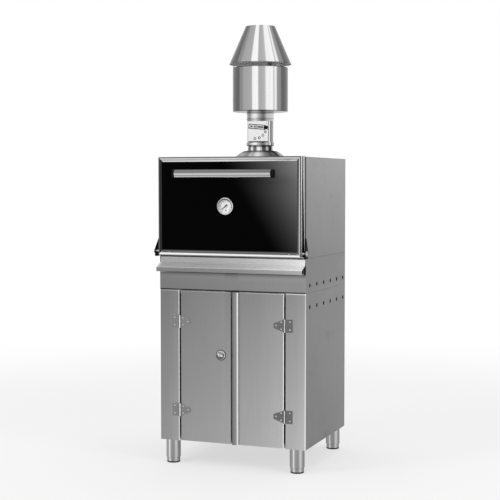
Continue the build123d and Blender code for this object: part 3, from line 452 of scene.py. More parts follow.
def brushed_ends(w, tone, level, stretch, grain, rough, dent):
    """The sockets that every brushed finish feeds."""
    level, lines = worn_level(w, level, stretch, grain)
    worn = w.scaled(handling_marks(w)["Smears"], 0.1, w.scaled(lines, 0.1, rough - 0.05))
    return ends(w, tone, level, lines, dent, Roughness=worn)


def wiped_ends(w, tone, level, dull, spread, rough, **more):
    """The sockets that every polished finish feeds, a little duller where it is wiped."""
    marks = handling_marks(w)["Smears"]
    lines = brushed_grain(w, Stretch=(60, 60, 900))["Grain"]
    worn = w.scaled(marks, spread, w.scaled(lines, 0.05, rough))
    return ends(w, tone, w.times(level, w.scaled(marks, -dull, 1.0)), lines, 0.02, Roughness=worn, **more)


def brushed(name, tone, stretch, rough=0.33, grain=0.3, pale=0.0, left=1.0):
    """Brushed steel, its grain drawn out by stretch, with painted highlights on folds and edges and painted light of
    its own strength on the left.
    """

    def build(w):
        # Painted highlights on folds, and painted light on the left as strong as left says
        level = w.scaled(fold_light_and_shade(w)["Pale"], pale, 1.0)
        level = w.times(level, w.span(w.axes()[0], -0.1, 0.1, left, 1.0))
        return brushed_ends(w, tone, level, stretch, grain, rough, 0.08)

    return material(name, build, Metallic=1.0)


def satin_sheet(name, tone, grain):
    """The sheet of the cabinet and the casing: its own tone on front and sides, dark seams, and painted light and
    shade on the front, the sides, the folds and the gaps, under the drawer and behind the door frame.
    """

    def build(w):
        place, out = w.axes(), w.axes("Normal")
        off_middle = w.size(place[0])
        right = w.span(place[0], -HALF_WIDTH, HALF_WIDTH, kind="LINEAR")
        down = w.span(place[2], BAND_LOW, CABINET_LOW, kind="LINEAR")
        # Painted light: the front grows lighter towards the bottom and the right
        front = w.plus(w.scaled(down, 0.108, 0.205), w.times(right, w.scaled(down, 0.095, 0.085)))
        # Painted shade under the drawer's lip and behind the sides of the door frame
        shade_under_drawer = w.span(place[2], 0.955, 0.984, 1.0, 0.5)
        shade_behind_frame = w.times(w.span(off_middle, 0.374, 0.378), w.span(place[2], 1.0605, 1.062))
        front = w.times(front, shade_under_drawer, w.scaled(shade_behind_frame, -0.95, 1.0))
        # Painted light on the walls of the gaps, and painted light and shade up the sides
        inside = w.times(w.span(off_middle, 0.386, 0.38), w.size(out[0]))
        side = w.between(inside, w.tones(place[2], SIDE_PAINTED_LIGHT), 0.9)
        facing = w.towards(out[1], -1.0)
        # Painted highlights on folds that turn right or up, none near the middle, and painted shade on folds that
        # turn away
        folds = fold_light_and_shade(w)
        pale = w.times(folds["Pale"], w.span(off_middle, 0.03, 0.04, 0.0, 1.7))
        fold = w.less(w.plus(pale, 1.0), w.times(folds["Dark"], 0.5))
        seams = [
            w.span(w.size(w.less(place[2], height)), 0.0006, 0.0016, dark, 1.0)
            for height, dark in ((BAND_LOW, 0.3), (BAND_TOP, 0.6))
        ]
        # Painted highlight along the top edge of the cabinet's front, stronger to the right
        edge_highlight = w.times(w.span(place[2], 0.8825, 0.884), w.span(place[2], 0.8895, 0.889))
        edge_highlight = w.times(edge_highlight, facing, w.scaled(right, 0.6, 0.5))
        level = w.times(w.between(facing, side, front), fold, w.plus(edge_highlight, 1.0), *seams)
        return brushed_ends(w, tone, level, (620, 620, 4), grain, 0.33, 0.05)

    return material(name, build, Metallic=1.0)


def drawer_sheet(name, tone, grain):
    """The satin sheet of the drawer front, with painted light on its slope, painted shade on its lip and painted
    light growing towards the right.
    """

    def build(w):
        place = w.axes()
        # Painted light and shade by height and on folds, lighter towards the right
        right = w.maths("POWER", w.span(place[0], -HALF_WIDTH, HALF_WIDTH, kind="LINEAR"), 3.0)
        level = w.times(w.tones(place[2], DRAWER_PAINTED_LIGHT), w.plus(right, 1.0))
        level = w.times(level, w.scaled(fold_light_and_shade(w)["Pale"], 0.3, 1.0))
        return brushed_ends(w, tone, level, (4, 620, 620), grain, 0.3, 0.05)

    return material(name, build, Metallic=0.35)


def drawn_strip(name, tone):
    """Drawn steel strip with painted shade and a painted highlight across it."""

    def build(w):
        return brushed_ends(w, tone, w.tones(w.axes()[0], STRIP_PAINTED_LIGHT), (500, 500, 4), 0.1, 0.24, 0.05)

    return material(name, build, Metallic=1.0)


def rolled(name, tone, stops, rough=0.2, metal=1.0, rims=(), turn=FACING):
    """Bright rolled steel: painted reflection bands and fine lines along a turned piece, and painted shade lines at
    the heights of its rims.
    """

    def build(w):
        sheen = rolled_sheen(w, Turn=turn)
        # Painted reflection bands round the piece, and painted shade lines at its rims
        level = w.times(w.tones(sheen["Across"], stops), w.scaled(sheen["Lines"], 0.1, 0.95))
        for rim in rims:
            level = w.times(level, w.span(w.size(w.less(w.axes()[2], rim)), 0.0015, 0.003, 0.3, 1.0))
        worn = w.scaled(handling_marks(w)["Smears"], 0.12, w.scaled(sheen["Lines"], 0.1, rough))
        return ends(w, tone, level, sheen["Lines"], 0.08, Roughness=worn)

    return material(name, build, Metallic=metal, Specular_IOR_Level=0.5 * metal)


def chrome(name, tone, rough=0.07):
    """Polished steel or plate with painted reflections: bright where it faces up or to the right and dark in between.
    """

    def build(w):
        out = w.axes("Normal")
        return wiped_ends(w, tone, w.tones(w.scaled(out[0], 0.4, out[2]), CHROME_REFLECTIONS), 0.12, 0.18, rough)

    return material(name, build, Metallic=1.0)


def polished_moulding(name, tone):
    """The door frame: painted reflection bands that run along its steps and meet at mitred corners, and on its flanks
    along its depth.
    """

    def build(w):
        place = w.axes()
        from_side = w.less(FRAME_SIDE, w.size(place[0]))
        from_end = w.maths("MINIMUM", w.less(place[2], FRAME_LOW), w.less(FRAME_HIGH, place[2]))
        on_side = w.maths("LESS_THAN", from_side, from_end)
        # Painted reflection bands up the sides and across the ends, and along the depth on the flanks
        level = w.between(on_side, w.tones(place[2], FRAME_REFLECTIONS_UPRIGHT), w.tones(place[0], FRAME_REFLECTIONS_ACROSS))
        flank = w.size(w.axes("Normal")[0])
        level = w.between(flank, level, w.tones(place[1], FRAME_REFLECTIONS_DEPTH))
        metal = w.scaled(w.maths("MAXIMUM", flank, w.span(place[1], -0.288, -0.284)), -0.75, 1.0)
        return wiped_ends(w, tone, level, 0.1, 0.15, 0.1, Metallic=metal)

    return material(name, build)


def painted(name, tone, rough=0.42, pebble=1100.0, gloss=0.5):
    """Paint, moulded plastic or rubber with a pebbled skin, rubbed paler where it is handled."""

    def build(w):
        skin = pebbled_skin(w, Scale=pebble)["Pebble"]
        marks = handling_marks(w)["Smears"]
        level = w.plus(w.scaled(skin, 0.2, 0.85), w.times(marks, 0.6))
        worn = w.scaled(marks, -0.12, w.scaled(skin, 0.08, rough))
        return ends(w, tone, level, skin, 0.25, 0.0002, Roughness=worn)

    return material(name, build, Specular_IOR_Level=gloss)


def sooted(name, tone, soot, rough):
    """Iron or steel that has been through the fire: a dark ground under clouds of soot."""

    def build(w):
        dirt = soot_clouds(w, Amount=soot)
        skin = pebbled_skin(w, Scale=650.0)["Pebble"]
        burnt = (tone[0] * 1.1, tone[1] * 0.86, tone[2] * 0.66, 1.0)
        ground = w.blend(w.noise(w.spot(), 5.0, 3.0), (*tone, 1.0), burnt)
        return {
            "Base Color": w.blend(dirt["Soot"], ground, (0.012, 0.011, 0.010, 1.0)),
            "Metallic": w.scaled(dirt["Soot"], -0.7, 0.7),
            "Roughness": w.scaled(dirt["Soot"], 0.85 - rough, rough),
            "Normal": w.relief(w.plus(skin, dirt["Crust"]), 0.5),
        }

    return material(name, build)


def felted(name, tone, scale):
    """Mineral wool or rope yarn: fine crossed fibres, paler where they stand up."""

    def build(w):
        one = w.noise(w.drawn((scale, scale * 0.2, scale)), 1.0, 4.0, 0.7)
        two = w.noise(w.drawn((scale * 0.2, scale, scale * 0.6)), 1.0, 4.0, 0.7)
        fibre = w.maths("MAXIMUM", one, two)
        return ends(w, tone, w.scaled(fibre, 1.1, 0.4), fibre, 0.8, 0.001)

    return material(name, build, Roughness=0.95, Specular_IOR_Level=0.2)


def enamelled(name, tone, glow):
    """The gloss black of the door, with a painted reflection: a pale sheen that fades down from its upper right."""

    def build(w):
        place = w.axes()
        # Painted reflection: a pale sheen past a slanting edge, growing towards the upper right
        past_edge = w.less(place[0], w.scaled(place[2], -0.62, 0.9055))
        sheen = w.maths("POWER", w.span(past_edge, 0.0, 0.4, kind="LINEAR"), 1.9)
        worn = w.scaled(handling_marks(w)["Smears"], 0.1, 0.12)
        return {"Base Color": w.blend(sheen, (*tone, 1.0), (*glow, 1.0)), "Roughness": worn}

    return material(name, build, Specular_IOR_Level=0.02)


def clear_glass(name):
    """Glass that lets the lamps' light through to what is behind it."""

    def build(w):
        unshaded = w.less(1.0, w.add("ShaderNodeLightPath").outputs["Is Shadow Ray"])
        return {"Roughness": w.scaled(handling_marks(w, Amount=0.5)["Smears"], 0.02, 0.0), "Alpha": unshaded}

    return material(name, build, Transmission_Weight=1.0, IOR=1.45, Base_Color=(0.97, 0.98, 0.98, 1.0))


# Finishes that several pieces share


def oven_sheet():
    tones = bpy.context.scene.oven_sheet
    return satin_sheet("Satin Sheet", tones.cabinet, tones.grain)


def mill_steel():
    return brushed("Mill Steel", (0.3, 0.3, 0.3), (90, 500, 90), rough=0.45)


def screw_steel():
    return chrome("Screw Steel", (0.9, 0.9, 0.91), 0.16)


def black_moulding():
    return painted("Moulded Black", bpy.context.scene.oven_door.moulded, gloss=0.08)


# Black paint for the painted shade in and behind the side vents
def vent_shade():
    return painted("Vent Painted Shade", (0.006, 0.006, 0.006), 0.8, 1800.0, gloss=0.05)


# Painted shade lines at the drum's bottom and top and at the hat's rim
def flue_metal():
    return rolled("Flue Sheet", bpy.context.scene.oven_flue.sheet, FLUE_REFLECTIONS, 0.16, rims=(1.8005, 2.0475, 2.0275))


# Mesh work


def softened(outline):
    """Rounds the corners of a closed outline, whose points are (across, up) or (across, up, corner radius)."""
    points = []
    for index, (across, up, *corner) in enumerate(outline):
        here = Vector((across, up))
        if not corner:
            points.append(here)
            continue
        before = (Vector(outline[index - 1][:2]) - here).normalized()
        after = (Vector(outline[(index + 1) % len(outline)][:2]) - here).normalized()
        half_angle = before.angle(after) / 2
        reach = corner[0] / math.tan(half_angle)
        centre = here + (before + after).normalized() * (corner[0] / math.sin(half_angle))
        first = here + before * reach - centre
        swing = first.angle_signed(here + after * reach - centre)
        for step in range(CORNER_STEPS + 1):
            points.append(centre + Matrix.Rotation(-swing * step / CORNER_STEPS, 2) @ first)
    return points


def turn_piece(work, outline, centre, steps, axis="UP"):
    """Adds a closed piece turned from an outline of (radius, height) in millimetres.

    The axis stands up, points to the back (BACK) or runs to the right (ACROSS) from the centre, and
    the UVs say how far round and along the piece each point is.
    """
    points = softened(outline)
    rings, along = [], [0.0]
    for index, (radius, height) in enumerate(points):
        ring = []
        for step in range(steps if radius > 1e-4 else 1):
            turn = 2 * math.pi * step / steps
            x, y, z = radius * math.cos(turn) * MM, radius * math.sin(turn) * MM, height * MM
            spot = {"UP": (x, y, z), "BACK": (x, z, y), "ACROSS": (z, x, y)}[axis]
            ring.append(work.verts.new(Vector(spot) + Vector(centre)))
        rings.append(ring * (steps // len(ring)))
        along.append(along[-1] + (points[(index + 1) % len(points)] - points[index]).length * MM)
    layer = work.loops.layers.uv.get("Round") or work.loops.layers.uv.new("Round")
    for index, low in enumerate(rings):
        high = rings[(index + 1) % len(rings)]
        for step in range(steps):
            kept = {}
            corners = (
                (low, index, step), (low, index, step + 1), (high, index + 1, step + 1), (high, index + 1, step),
            )
            for ring, row, turn in corners:
                kept.setdefault(ring[turn % steps], (turn / steps, along[row]))
            if len(kept) > 2:
                face = work.faces.new(list(kept))
                for loop, place in zip(face.loops, kept.values()):
                    loop[layer].uv = place


def joined_faces(node):
    """A working copy of a CAD node, its loose triangles merged into whole faces."""
    work = bmesh.new()
    work.from_mesh(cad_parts[node].data)
    bmesh.ops.remove_doubles(work, verts=work.verts, dist=2e-6)
    bmesh.ops.dissolve_limit(work, angle_limit=math.radians(0.4), verts=work.verts, edges=work.edges)
    return work


def meshed(name, work, outward=True):
    """The mesh of a working mesh, its faces turned outwards unless they face that way already."""
    if outward:
        bmesh.ops.recalc_face_normals(work, faces=work.faces)
    mesh = bpy.data.meshes.new(name)
    work.to_mesh(mesh)
    work.free()
    return mesh


def placed(name, data):
    """An object with this data, in the scene."""
    made = bpy.data.objects.new(name, data)
    bpy.context.scene.collection.objects.link(made)
    return made


def settled(seat):
    """The mesh that an object's modifiers give; they are removed, and the object after them."""
    bpy.context.view_layer.update()
    mesh = bpy.data.meshes.new_from_object(seat.evaluated_get(bpy.context.evaluated_depsgraph_get()))
    seat.modifiers.clear()
    bpy.data.objects.remove(seat)
    return mesh


def carved(work, cutter):
    """The mesh of one working mesh with another cut out of it."""
    body = placed("Blank", meshed("Blank", work))
    tool = placed("Cutter", meshed("Cutter", cutter))
    cut = body.modifiers.new("Cut", "BOOLEAN")
    cut.object = tool
    cut.operation = "DIFFERENCE"
    cut.solver = "EXACT"
    cut.use_self = True
    mesh = settled(body)
    bpy.data.objects.remove(tool)
    return mesh


def carry(name, mesh, body, finish, slot, node=None, edge=0.0):
    """Puts a mesh on its body, in the place of the CAD node that it is named after or given."""
    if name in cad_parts:
        name, node = name + ".finished", name
    mesh.materials.clear()
    mesh.materials.append(finish)
    mesh.shade_smooth()
    mesh.set_sharp_from_angle(angle=SHARP)
    piece = placed(name, mesh)
    if edge:
        rounding = piece.modifiers.new("Rounded edges", "BEVEL")
        rounding.width = edge
        rounding.segments = 2
        rounding.limit_method = "ANGLE"
        rounding.angle_limit = SHARP
        rounding.harden_normals = True
    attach(piece, body)
    if node:
        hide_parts(node)
    return piece


def show(name, work, body, finish, slot, node=None, edge=0.0, outward=True):
    """Makes a finished piece from a working mesh."""
    return carry(name, meshed(name, work, outward), body, finish, slot, node, edge)


def turned(name, outline, centre, steps, axis, body, finish, slot, node=None):
    """Makes a finished piece by turning one outline."""
    work = bmesh.new()
    turn_piece(work, outline, centre, steps, axis)
    return show(name, work, body, finish, slot, node)


def refine(node, body, finish, slot, edge):
    """Shows a CAD node's own shape with joined faces and rounded edges."""
    return show(node, joined_faces(node), body, finish, slot, edge=edge, outward=False)


def refine_sheet(node, body="stand"):
    """Shows a CAD node that is folded from the satin sheet."""
    return refine(node, body, oven_sheet(), "satin_steel", bpy.context.scene.oven_sheet.edge)


def coat(finish, *nodes):
    """Gives CAD nodes that are shown as they are their finish."""
    for node in nodes:
        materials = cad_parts[node].data.materials
        materials.clear()
        materials.append(finish)


def recoat(piece, finish, chosen):
    """Gives the faces of a piece that a test chooses a finish of their own."""
    piece.data.materials.append(finish)
    for face in piece.data.polygons:
        if chosen(face):
            face.material_index = 1


def vented(piece):
    """Paints shade in black on the walls of the small side vents."""

    def in_vent(face):
        x, y, z = face.center
        in_row = min(abs(z - level) for level in VENT_LEVELS) < VENT_RADIUS and VENT_ROW[0] < y < VENT_ROW[1]
        return in_row and abs(face.normal.x) < 0.5 and abs(x) > HALF_WIDTH - 0.004

    recoat(piece, vent_shade(), in_vent)


def chamfered_block(work, low, high, cut, centre=(0, 0, 0)):
    """Adds a block between two corners, in metres from the centre, with its edges cut."""
    made = bmesh.ops.create_cube(work, size=1.0)
    low, high = Vector(low) + Vector(centre), Vector(high) + Vector(centre)
    place = Matrix.Translation((high + low) / 2) @ Matrix.Diagonal((*(high - low), 1.0))
    bmesh.ops.transform(work, matrix=place, verts=made["verts"])
    edges = dict.fromkeys(edge for vert in made["verts"] for edge in vert.link_edges)
    bmesh.ops.bevel(work, geom=list(edges), offset=cut, segments=2, affect="EDGES", clamp_overlap=True)


def grown(name, tree, values, points=()):
    """The mesh that a geometry tree grows on loose points, with its inputs set by name."""
    mesh = bpy.data.meshes.new(name)
    mesh.from_pydata([tuple(point) for point in points], [], [])
    seat = placed(name, mesh)
    growth = seat.modifiers.new("Growth", "NODES")
    growth.node_group = tree
    for item in tree.interface.items_tree:
        if item.item_type == "SOCKET" and item.in_out == "INPUT" and item.name in values:
            growth[item.identifier] = values[item.name]
    result = settled(seat)
    if not result.polygons:
        raise RuntimeError(name + " grew no faces")
    return result


def growth_tree(name, **inputs):
    """A geometry tree with a geometry socket in and out and inputs given as name=kind."""
    tree = bpy.data.node_groups.new(name, "GeometryNodeTree")
    for label, kind in {"Geometry": "Geometry", **inputs}.items():
        tree.interface.new_socket(label, in_out="INPUT", socket_type="NodeSocket" + kind)
    tree.interface.new_socket("Geometry", in_out="OUTPUT", socket_type="NodeSocketGeometry")
    w = Wiring(tree)
    return w, w.add("NodeGroupInput").outputs


def end_growth(w, geometry, finish):
    """Every tree ends the same way: its instances made real, with their finish set."""
    real = w.out("GeometryNodeRealizeInstances", {0: geometry})
    w.add("NodeGroupOutput", {0: w.out("GeometryNodeSetMaterial", {"Geometry": real, "Material": finish})})
    return w.tree


def islands(node):
    """The centre of each separate solid in a CAD node, in an order that is the same each run."""
    work = joined_faces(node)
    left = dict.fromkeys(work.verts)
    centres = []
    while left:
        queue = [left.popitem()[0]]
        found = list(queue)
        while queue:
            for edge in queue.pop().link_edges:
                for vert in edge.verts:
                    if vert in left:
                        del left[vert]
                        found.append(vert)
                        queue.append(vert)
        low, high = (Vector([pick(vert.co[axis] for vert in found) for axis in range(3)]) for pick in (min, max))
        centres.append((low + high) / 2)
    work.free()
    return centres


# Pieces


class CabinetShell(bpy.types.Operator):
    """Finish the folded sides, the back, the shelf and the deck of the cabinet"""

    bl_idname = "oven.cabinet_shell"
    bl_label = "Cabinet Shell"

    def execute(self, context):
        vented(refine_sheet("cabinet_right_side"))
        vented(refine_sheet("cabinet_left_side"))
        coat(oven_sheet(), "cabinet_back", "cabinet_base", "cabinet_top")
        return {"FINISHED"}


class CabinetDoors(bpy.types.Operator):
    """Finish the two folded door pans and the half-round grip strip"""

    bl_idname = "oven.cabinet_doors"
    bl_label = "Cabinet Doors"

    def execute(self, context):
        tones = context.scene.oven_sheet
        refine_sheet("left_door", "left_door")
        refine_sheet("right_door", "right_door")
        refine("grip_strip", "right_door", drawn_strip("Grip Strip", tones.strip), "grip_steel", tones.edge)
        return {"FINISHED"}


class CabinetHinges(bpy.types.Operator):
    """Finish the hinge leaves, their knuckles and pins"""

    bl_idname = "oven.cabinet_hinges"
    bl_label = "Cabinet Hinges"

    def execute(self, context):
        tone = context.scene.oven_sheet.hinge
        # Painted highlights on the hinges' edges, and painted light on the left hinges
        pressed = brushed("Hinge Steel", tone, (240, 240, 900), rough=0.3, grain=0.2, pale=4.0, left=1.5)
        refine("stile_hinges", "stand", pressed, "hinge_steel", 0.0006)
        for door in ("left_door", "right_door"):
            refine(door + "_hinge_leaves", door, pressed, "hinge_steel", 0.0006)
        return {"FINISHED"}


def cross_head(radius, rise):
    """One domed screw head with a cross recess, its foot at the origin and its crown towards the front."""
    head, cross = bmesh.new(), bmesh.new()
    outline = [
        (0, 0.2), (radius, 0.2), (radius, -rise * 0.3, rise * 0.2), (radius * 0.72, -rise * 0.86, rise), (0, -rise),
    ]
    turn_piece(head, outline, (0, 0, 0), 20, "BACK")
    for across, up in ((0.62, 0.13), (0.13, 0.62)):
        low = Vector((-across * radius, -rise * 1.2, -up * radius)) * MM
        chamfered_block(cross, low, Vector((across * radius, -rise * 0.45, up * radius)) * MM, 0.00002)
    return carved(head, cross)


def screw_tree():
    """Screw heads set on loose points, each turned a little differently."""
    w, given = growth_tree("Screw Heads", Head="Object", Seed="Int")
    head = w.add("GeometryNodeObjectInfo", {0: given["Head"]}).outputs["Geometry"]
    draw = {2: 0.0, 3: math.pi / 2, "Seed": given["Seed"]}
    turn = w.add("FunctionNodeRandomValue", draw, data_type="FLOAT").outputs[1]
    seats = {"Points": given["Geometry"], "Instance": head, "Rotation": w.joined(y=turn)}
    return end_growth(w, w.out("GeometryNodeInstanceOnPoints", seats), screw_steel())


def set_screws(name, points, radius, rise, body, seed):
    """Domed screws on the given points, which are the feet of their heads."""
    pattern = placed("Head pattern", cross_head(radius, rise))
    tree = bpy.data.node_groups.get("Screw Heads") or screw_tree()
    mesh = grown(name, tree, {"Head": pattern, "Seed": seed}, points)
    bpy.data.objects.remove(pattern)
    carry(name, mesh, body, screw_steel(), "screw_steel")


class HingeScrews(bpy.types.Operator):
    """Set the domed screws of the cabinet hinges and of the oven door's hinge plates"""

    bl_idname = "oven.hinge_screws"
    bl_label = "Hinge Screws"

    def execute(self, context):
        hinged = (("stile", "stand"), ("left_door", "left_door"), ("right_door", "right_door"))
        for seed, (side, body) in enumerate(hinged, 1):
            node = side + "_hinge_screws"
            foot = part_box(node)[1].y
            set_screws(node, [(centre.x, foot, centre.z) for centre in islands(node)], 4.5, 2.0, body, seed)
        plate_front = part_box("door_frame")[0].y - 0.0001
        points = [(x, plate_front, PLATE_SCREW_HEIGHT) for x in PLATE_SCREWS]
        set_screws("hinge_plate_screws", points, 3.4, 1.2, "oven_door", 7)
        return {"FINISHED"}


class CabinetLock(bpy.types.Operator):
    """Turn the lock's round plate and its domed knob, with the key slot and the cam"""

    bl_idname = "oven.cabinet_lock"
    bl_label = "Cabinet Lock"

    def execute(self, context):
        plated = chrome("Lock Plate", (0.9, 0.9, 0.91), 0.1)
        outline = [
            (6.05, 18), (12, 18, 0.6), (12, 0), (23, 0), (23, -3, 1.6), (17, -3, 0.8), (16, -2.2, 0.8), (6.05, -2.2),
        ]
        turned("lock_plate", outline, LOCK, MANY, "BACK", "left_door", plated, "lock_chrome", "lock_body")
        # Painted shadow: a dark ring that stands out round the lock plate
        rubber = painted("Lock Painted Shadow", (0.07, 0.07, 0.07), 0.5, 1400.0)
        outline = [(22.5, -0.05), (27.5, -0.05), (27.5, -0.7, 0.3), (22.5, -0.7, 0.1)]
        turned("lock_gasket", outline, LOCK, MANY, "BACK", "left_door", rubber, "lock_chrome")
        blank, key_slot, knob = bmesh.new(), bmesh.new(), bmesh.new()
        outline = [
            (0, 25), (6, 25), (6, -3.3), (19, -3.3, 0.5), (19, -8, 4), (15.2, -15.6, 7), (8, -19.3, 6),
            (5.5, -19.3, 0.3), (5.2, -18.7, 0.3), (0, -18.7),
        ]
        turn_piece(blank, outline, LOCK, MANY, "BACK")
        chamfered_block(key_slot, (-0.001, -0.022, -0.0045), (0.001, -0.014, 0.0045), 0.0002, LOCK)
        knob.from_mesh(carved(blank, key_slot))
        chamfered_block(knob, (-0.008, 0.022, -0.008), (0.008, 0.025, 0.064), 0.0006, LOCK)
        show("lock_knob", knob, "lock", plated, "lock_chrome", outward=False)
        return {"FINISHED"}


class LegsAndFeet(bpy.types.Operator):
    """Turn the four leg sleeves and the levelling feet with their rubber pads"""

    bl_idname = "oven.legs_and_feet"
    bl_label = "Legs and Feet"

    def execute(self, context):
        tones = context.scene.oven_sheet
        tube = rolled("Leg Tube", tones.leg, LEG_REFLECTIONS)
        rubber = painted("Foot Rubber", tones.rubber, 0.7, 700.0)
        sleeve = [(0, 116), (35.5, 116), (35.5, 28, 0.5), (37, 28, 0.7), (37, 120), (0, 120)]
        nut = [(6.05, 56), (35.5, 56), (35.5, 68), (6.05, 68)]
        cup = [
            (0, 7), (33, 7, 0.6), (34, 8.6, 0.6), (34, 24, 0.3), (33.2, 24.6, 0.2), (34, 25.2, 0.3), (34, 50, 1.2),
            (6, 50), (6, 100, 0.8), (0, 100),
        ]
        pad = [(0, 0), (33.1, 0, 1.2), (34, 3.5, 1.5), (33, 7, 0.3), (0, 7)]
        sleeves = bmesh.new()
        for corner in ("front_left", "front_right", "back_left", "back_right"):
            foot = "foot_" + corner
            low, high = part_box(foot)
            centre = Vector(((low.x + high.x) / 2, (low.y + high.y) / 2, 0))
            turn_piece(sleeves, sleeve, centre, MANY)
            turn_piece(sleeves, nut, centre, 48)
            turned("foot_cup_" + corner, cup, centre, MANY, "UP", foot, tube, "leg_steel", foot)
            turned("foot_pad_" + corner, pad, centre, MANY, "UP", foot, rubber, "handle_black")
        show("leg_sleeves", sleeves, "stand", tube, "leg_steel")
        return {"FINISHED"}


class BaseBand(bpy.types.Operator):
    """Finish the band under the oven, its fascia and the drawer rails"""

    bl_idname = "oven.base_band"
    bl_label = "Base Band"

    def execute(self, context):
        vented(refine_sheet("base_shell"))
        # Painted shade: black sheets behind the side vents and black rings round them
        shade_sheets, rims = bmesh.new(), bmesh.new()
        for side in (-1, 1):
            face = side * HALF_WIDTH / MM
            rim = [(7.2, face), (10.4, face), (10.4, face + side * 0.15, 0.05), (7.2, face + side * 0.15)]
            for level in VENT_LEVELS:
                centre = (side * 0.3872, 0, level)
                chamfered_block(shade_sheets, (-0.0003, -0.216, -0.0095), (0.0003, 0.364, 0.0095), 0.0001, centre)
                for y in VENT_PLACES:
                    turn_piece(rims, rim, (0, y, level), FEW, "ACROSS")
        show("vent_screens", shade_sheets, "stand", vent_shade(), "satin_steel", outward=False)
        show("vent_rims", rims, "stand", vent_shade(), "satin_steel")
        refine_sheet("base_fascia")
        coat(mill_steel(), "tray_rails")
        return {"FINISHED"}


class AshDrawer(bpy.types.Operator):
    """Finish the sloped drawer front and the ash tray behind it"""

    bl_idname = "oven.ash_drawer"
    bl_label = "Ash Drawer"

    def execute(self, context):
        tones = context.scene.oven_sheet
        front = drawer_sheet("Drawer Sheet", tones.drawer, tones.grain)
        refine("drawer_front", "ash_drawer", front, "drawer_steel", tones.edge)
        refine("ash_tray", "ash_drawer", sooted("Ash Tray", (0.22, 0.22, 0.22), 0.7, 0.5), "inner_steel", 0.0008)
        return {"FINISHED"}


class OvenCasing(bpy.types.Operator):
    """Finish the casing wrap, its lid and the frame round the mouth"""

    bl_idname = "oven.casing"
    bl_label = "Oven Casing"

    def execute(self, context):
        refine_sheet("casing_wrap")
        refine_sheet("casing_top")
        refine("front_frame", "stand", sooted("Mouth Frame", (0.2, 0.195, 0.19), 0.45, 0.4), "inner_steel", 0.0008)
        return {"FINISHED"}


def rope_tree(finish):
    """Strands laid round a closed path, twisted so many turns along it."""
    lengths = dict.fromkeys(("Width", "Height", "Corner", "Strand", "Lay", "Turns"), "Float")
    w, given = growth_tree("Braided Rope", **lengths, Steps="Int")
    path = w.out("GeometryNodeCurvePrimitiveQuadrilateral", {0: given["Width"], 1: given["Height"]})
    path = w.out("GeometryNodeFilletCurve", {"Curve": path, "Radius": given["Corner"], "Count": 8}, mode="POLY")
    path = w.out("GeometryNodeResampleCurve", {"Curve": path, "Count": given["Steps"]})
    along = w.add("GeometryNodeSplineParameter").outputs["Factor"]
    twist = w.times(along, given["Turns"], 2 * math.pi)
    path = w.out("GeometryNodeSetCurveTilt", {"Curve": path, "Tilt": twist})
    strand = w.out("GeometryNodeCurvePrimitiveCircle", {"Resolution": 8, "Radius": given["Strand"]})
    ring = w.out("GeometryNodeMeshCircle", {"Vertices": 4, "Radius": given["Lay"]})
    section = w.out("GeometryNodeInstanceOnPoints", {"Points": ring, "Instance": strand})
    section = w.out("GeometryNodeRealizeInstances", {0: section})
    return end_growth(w, w.out("GeometryNodeCurveToMesh", {"Curve": path, "Profile Curve": section}), finish)


class RopeSeal(bpy.types.Operator):
    """Lay the braided rope seal round the mouth"""

    bl_idname = "oven.rope_seal"
    bl_label = "Rope Seal"

    def execute(self, context):
        door = context.scene.oven_door
        low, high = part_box("mouth_seal")
        thick = high.y - low.y
        yarn = felted("Rope Yarn", door.rope, 1500.0)
        size = {
            "Width": high.x - low.x - thick, "Height": high.z - low.z - thick, "Corner": thick / 2,
            "Strand": door.strand, "Lay": thick / 2 - door.strand, "Turns": 90.0, "Steps": 1080,
        }
        mesh = grown("mouth_seal.rope", rope_tree(yarn), size)
        mesh.transform(Matrix.Translation((low + high) / 2) @ FACE_FRONT)
        carry("mouth_seal.rope", mesh, "stand", yarn, "rope_seal", "mouth_seal")
        return {"FINISHED"}


def rack_tree(finish):
    """A rack of round rods with a round border and one cross rod."""
    w, given = growth_tree("Grill Rack", Width="Float", Depth="Float", Rods="Int", Rod="Float", Border="Float")
    half_width, half_depth = w.times(given["Width"], 0.5), w.times(given["Depth"], 0.5)

    def sweep(path, radius):
        section = w.out("GeometryNodeCurvePrimitiveCircle", {"Resolution": 10, "Radius": radius})
        return w.out("GeometryNodeCurveToMesh", {"Curve": path, "Profile Curve": section, "Fill Caps": True})

    def bar(start, end, radius):
        return sweep(w.out("GeometryNodeCurvePrimitiveLine", {"Start": start, "End": end}), radius)

    rod = bar(w.joined(y=w.times(half_depth, -1.0)), w.joined(y=half_depth), given["Rod"])
    pitch = w.maths("DIVIDE", given["Width"], w.plus(given["Rods"], 1.0))
    row = {"Count": given["Rods"], "Start Location": w.joined(w.less(pitch, half_width)), "Offset": w.joined(pitch)}
    rods = w.out("GeometryNodeInstanceOnPoints", {"Points": w.out("GeometryNodeMeshLine", row), "Instance": rod})
    edge = w.out("GeometryNodeCurvePrimitiveQuadrilateral", {0: given["Width"], 1: given["Depth"]})
    edge = w.out("GeometryNodeFilletCurve", {"Curve": edge, "Radius": 0.012, "Count": 6}, mode="POLY")
    cross = bar(w.joined(w.times(half_width, -1.0)), w.joined(half_width), given["Border"])
    rack = w.add("GeometryNodeJoinGeometry")
    for part in (rods, sweep(edge, given["Border"]), cross):
        w.tree.links.new(part, rack.inputs[0])
    return end_growth(w, rack.outputs[0], finish)


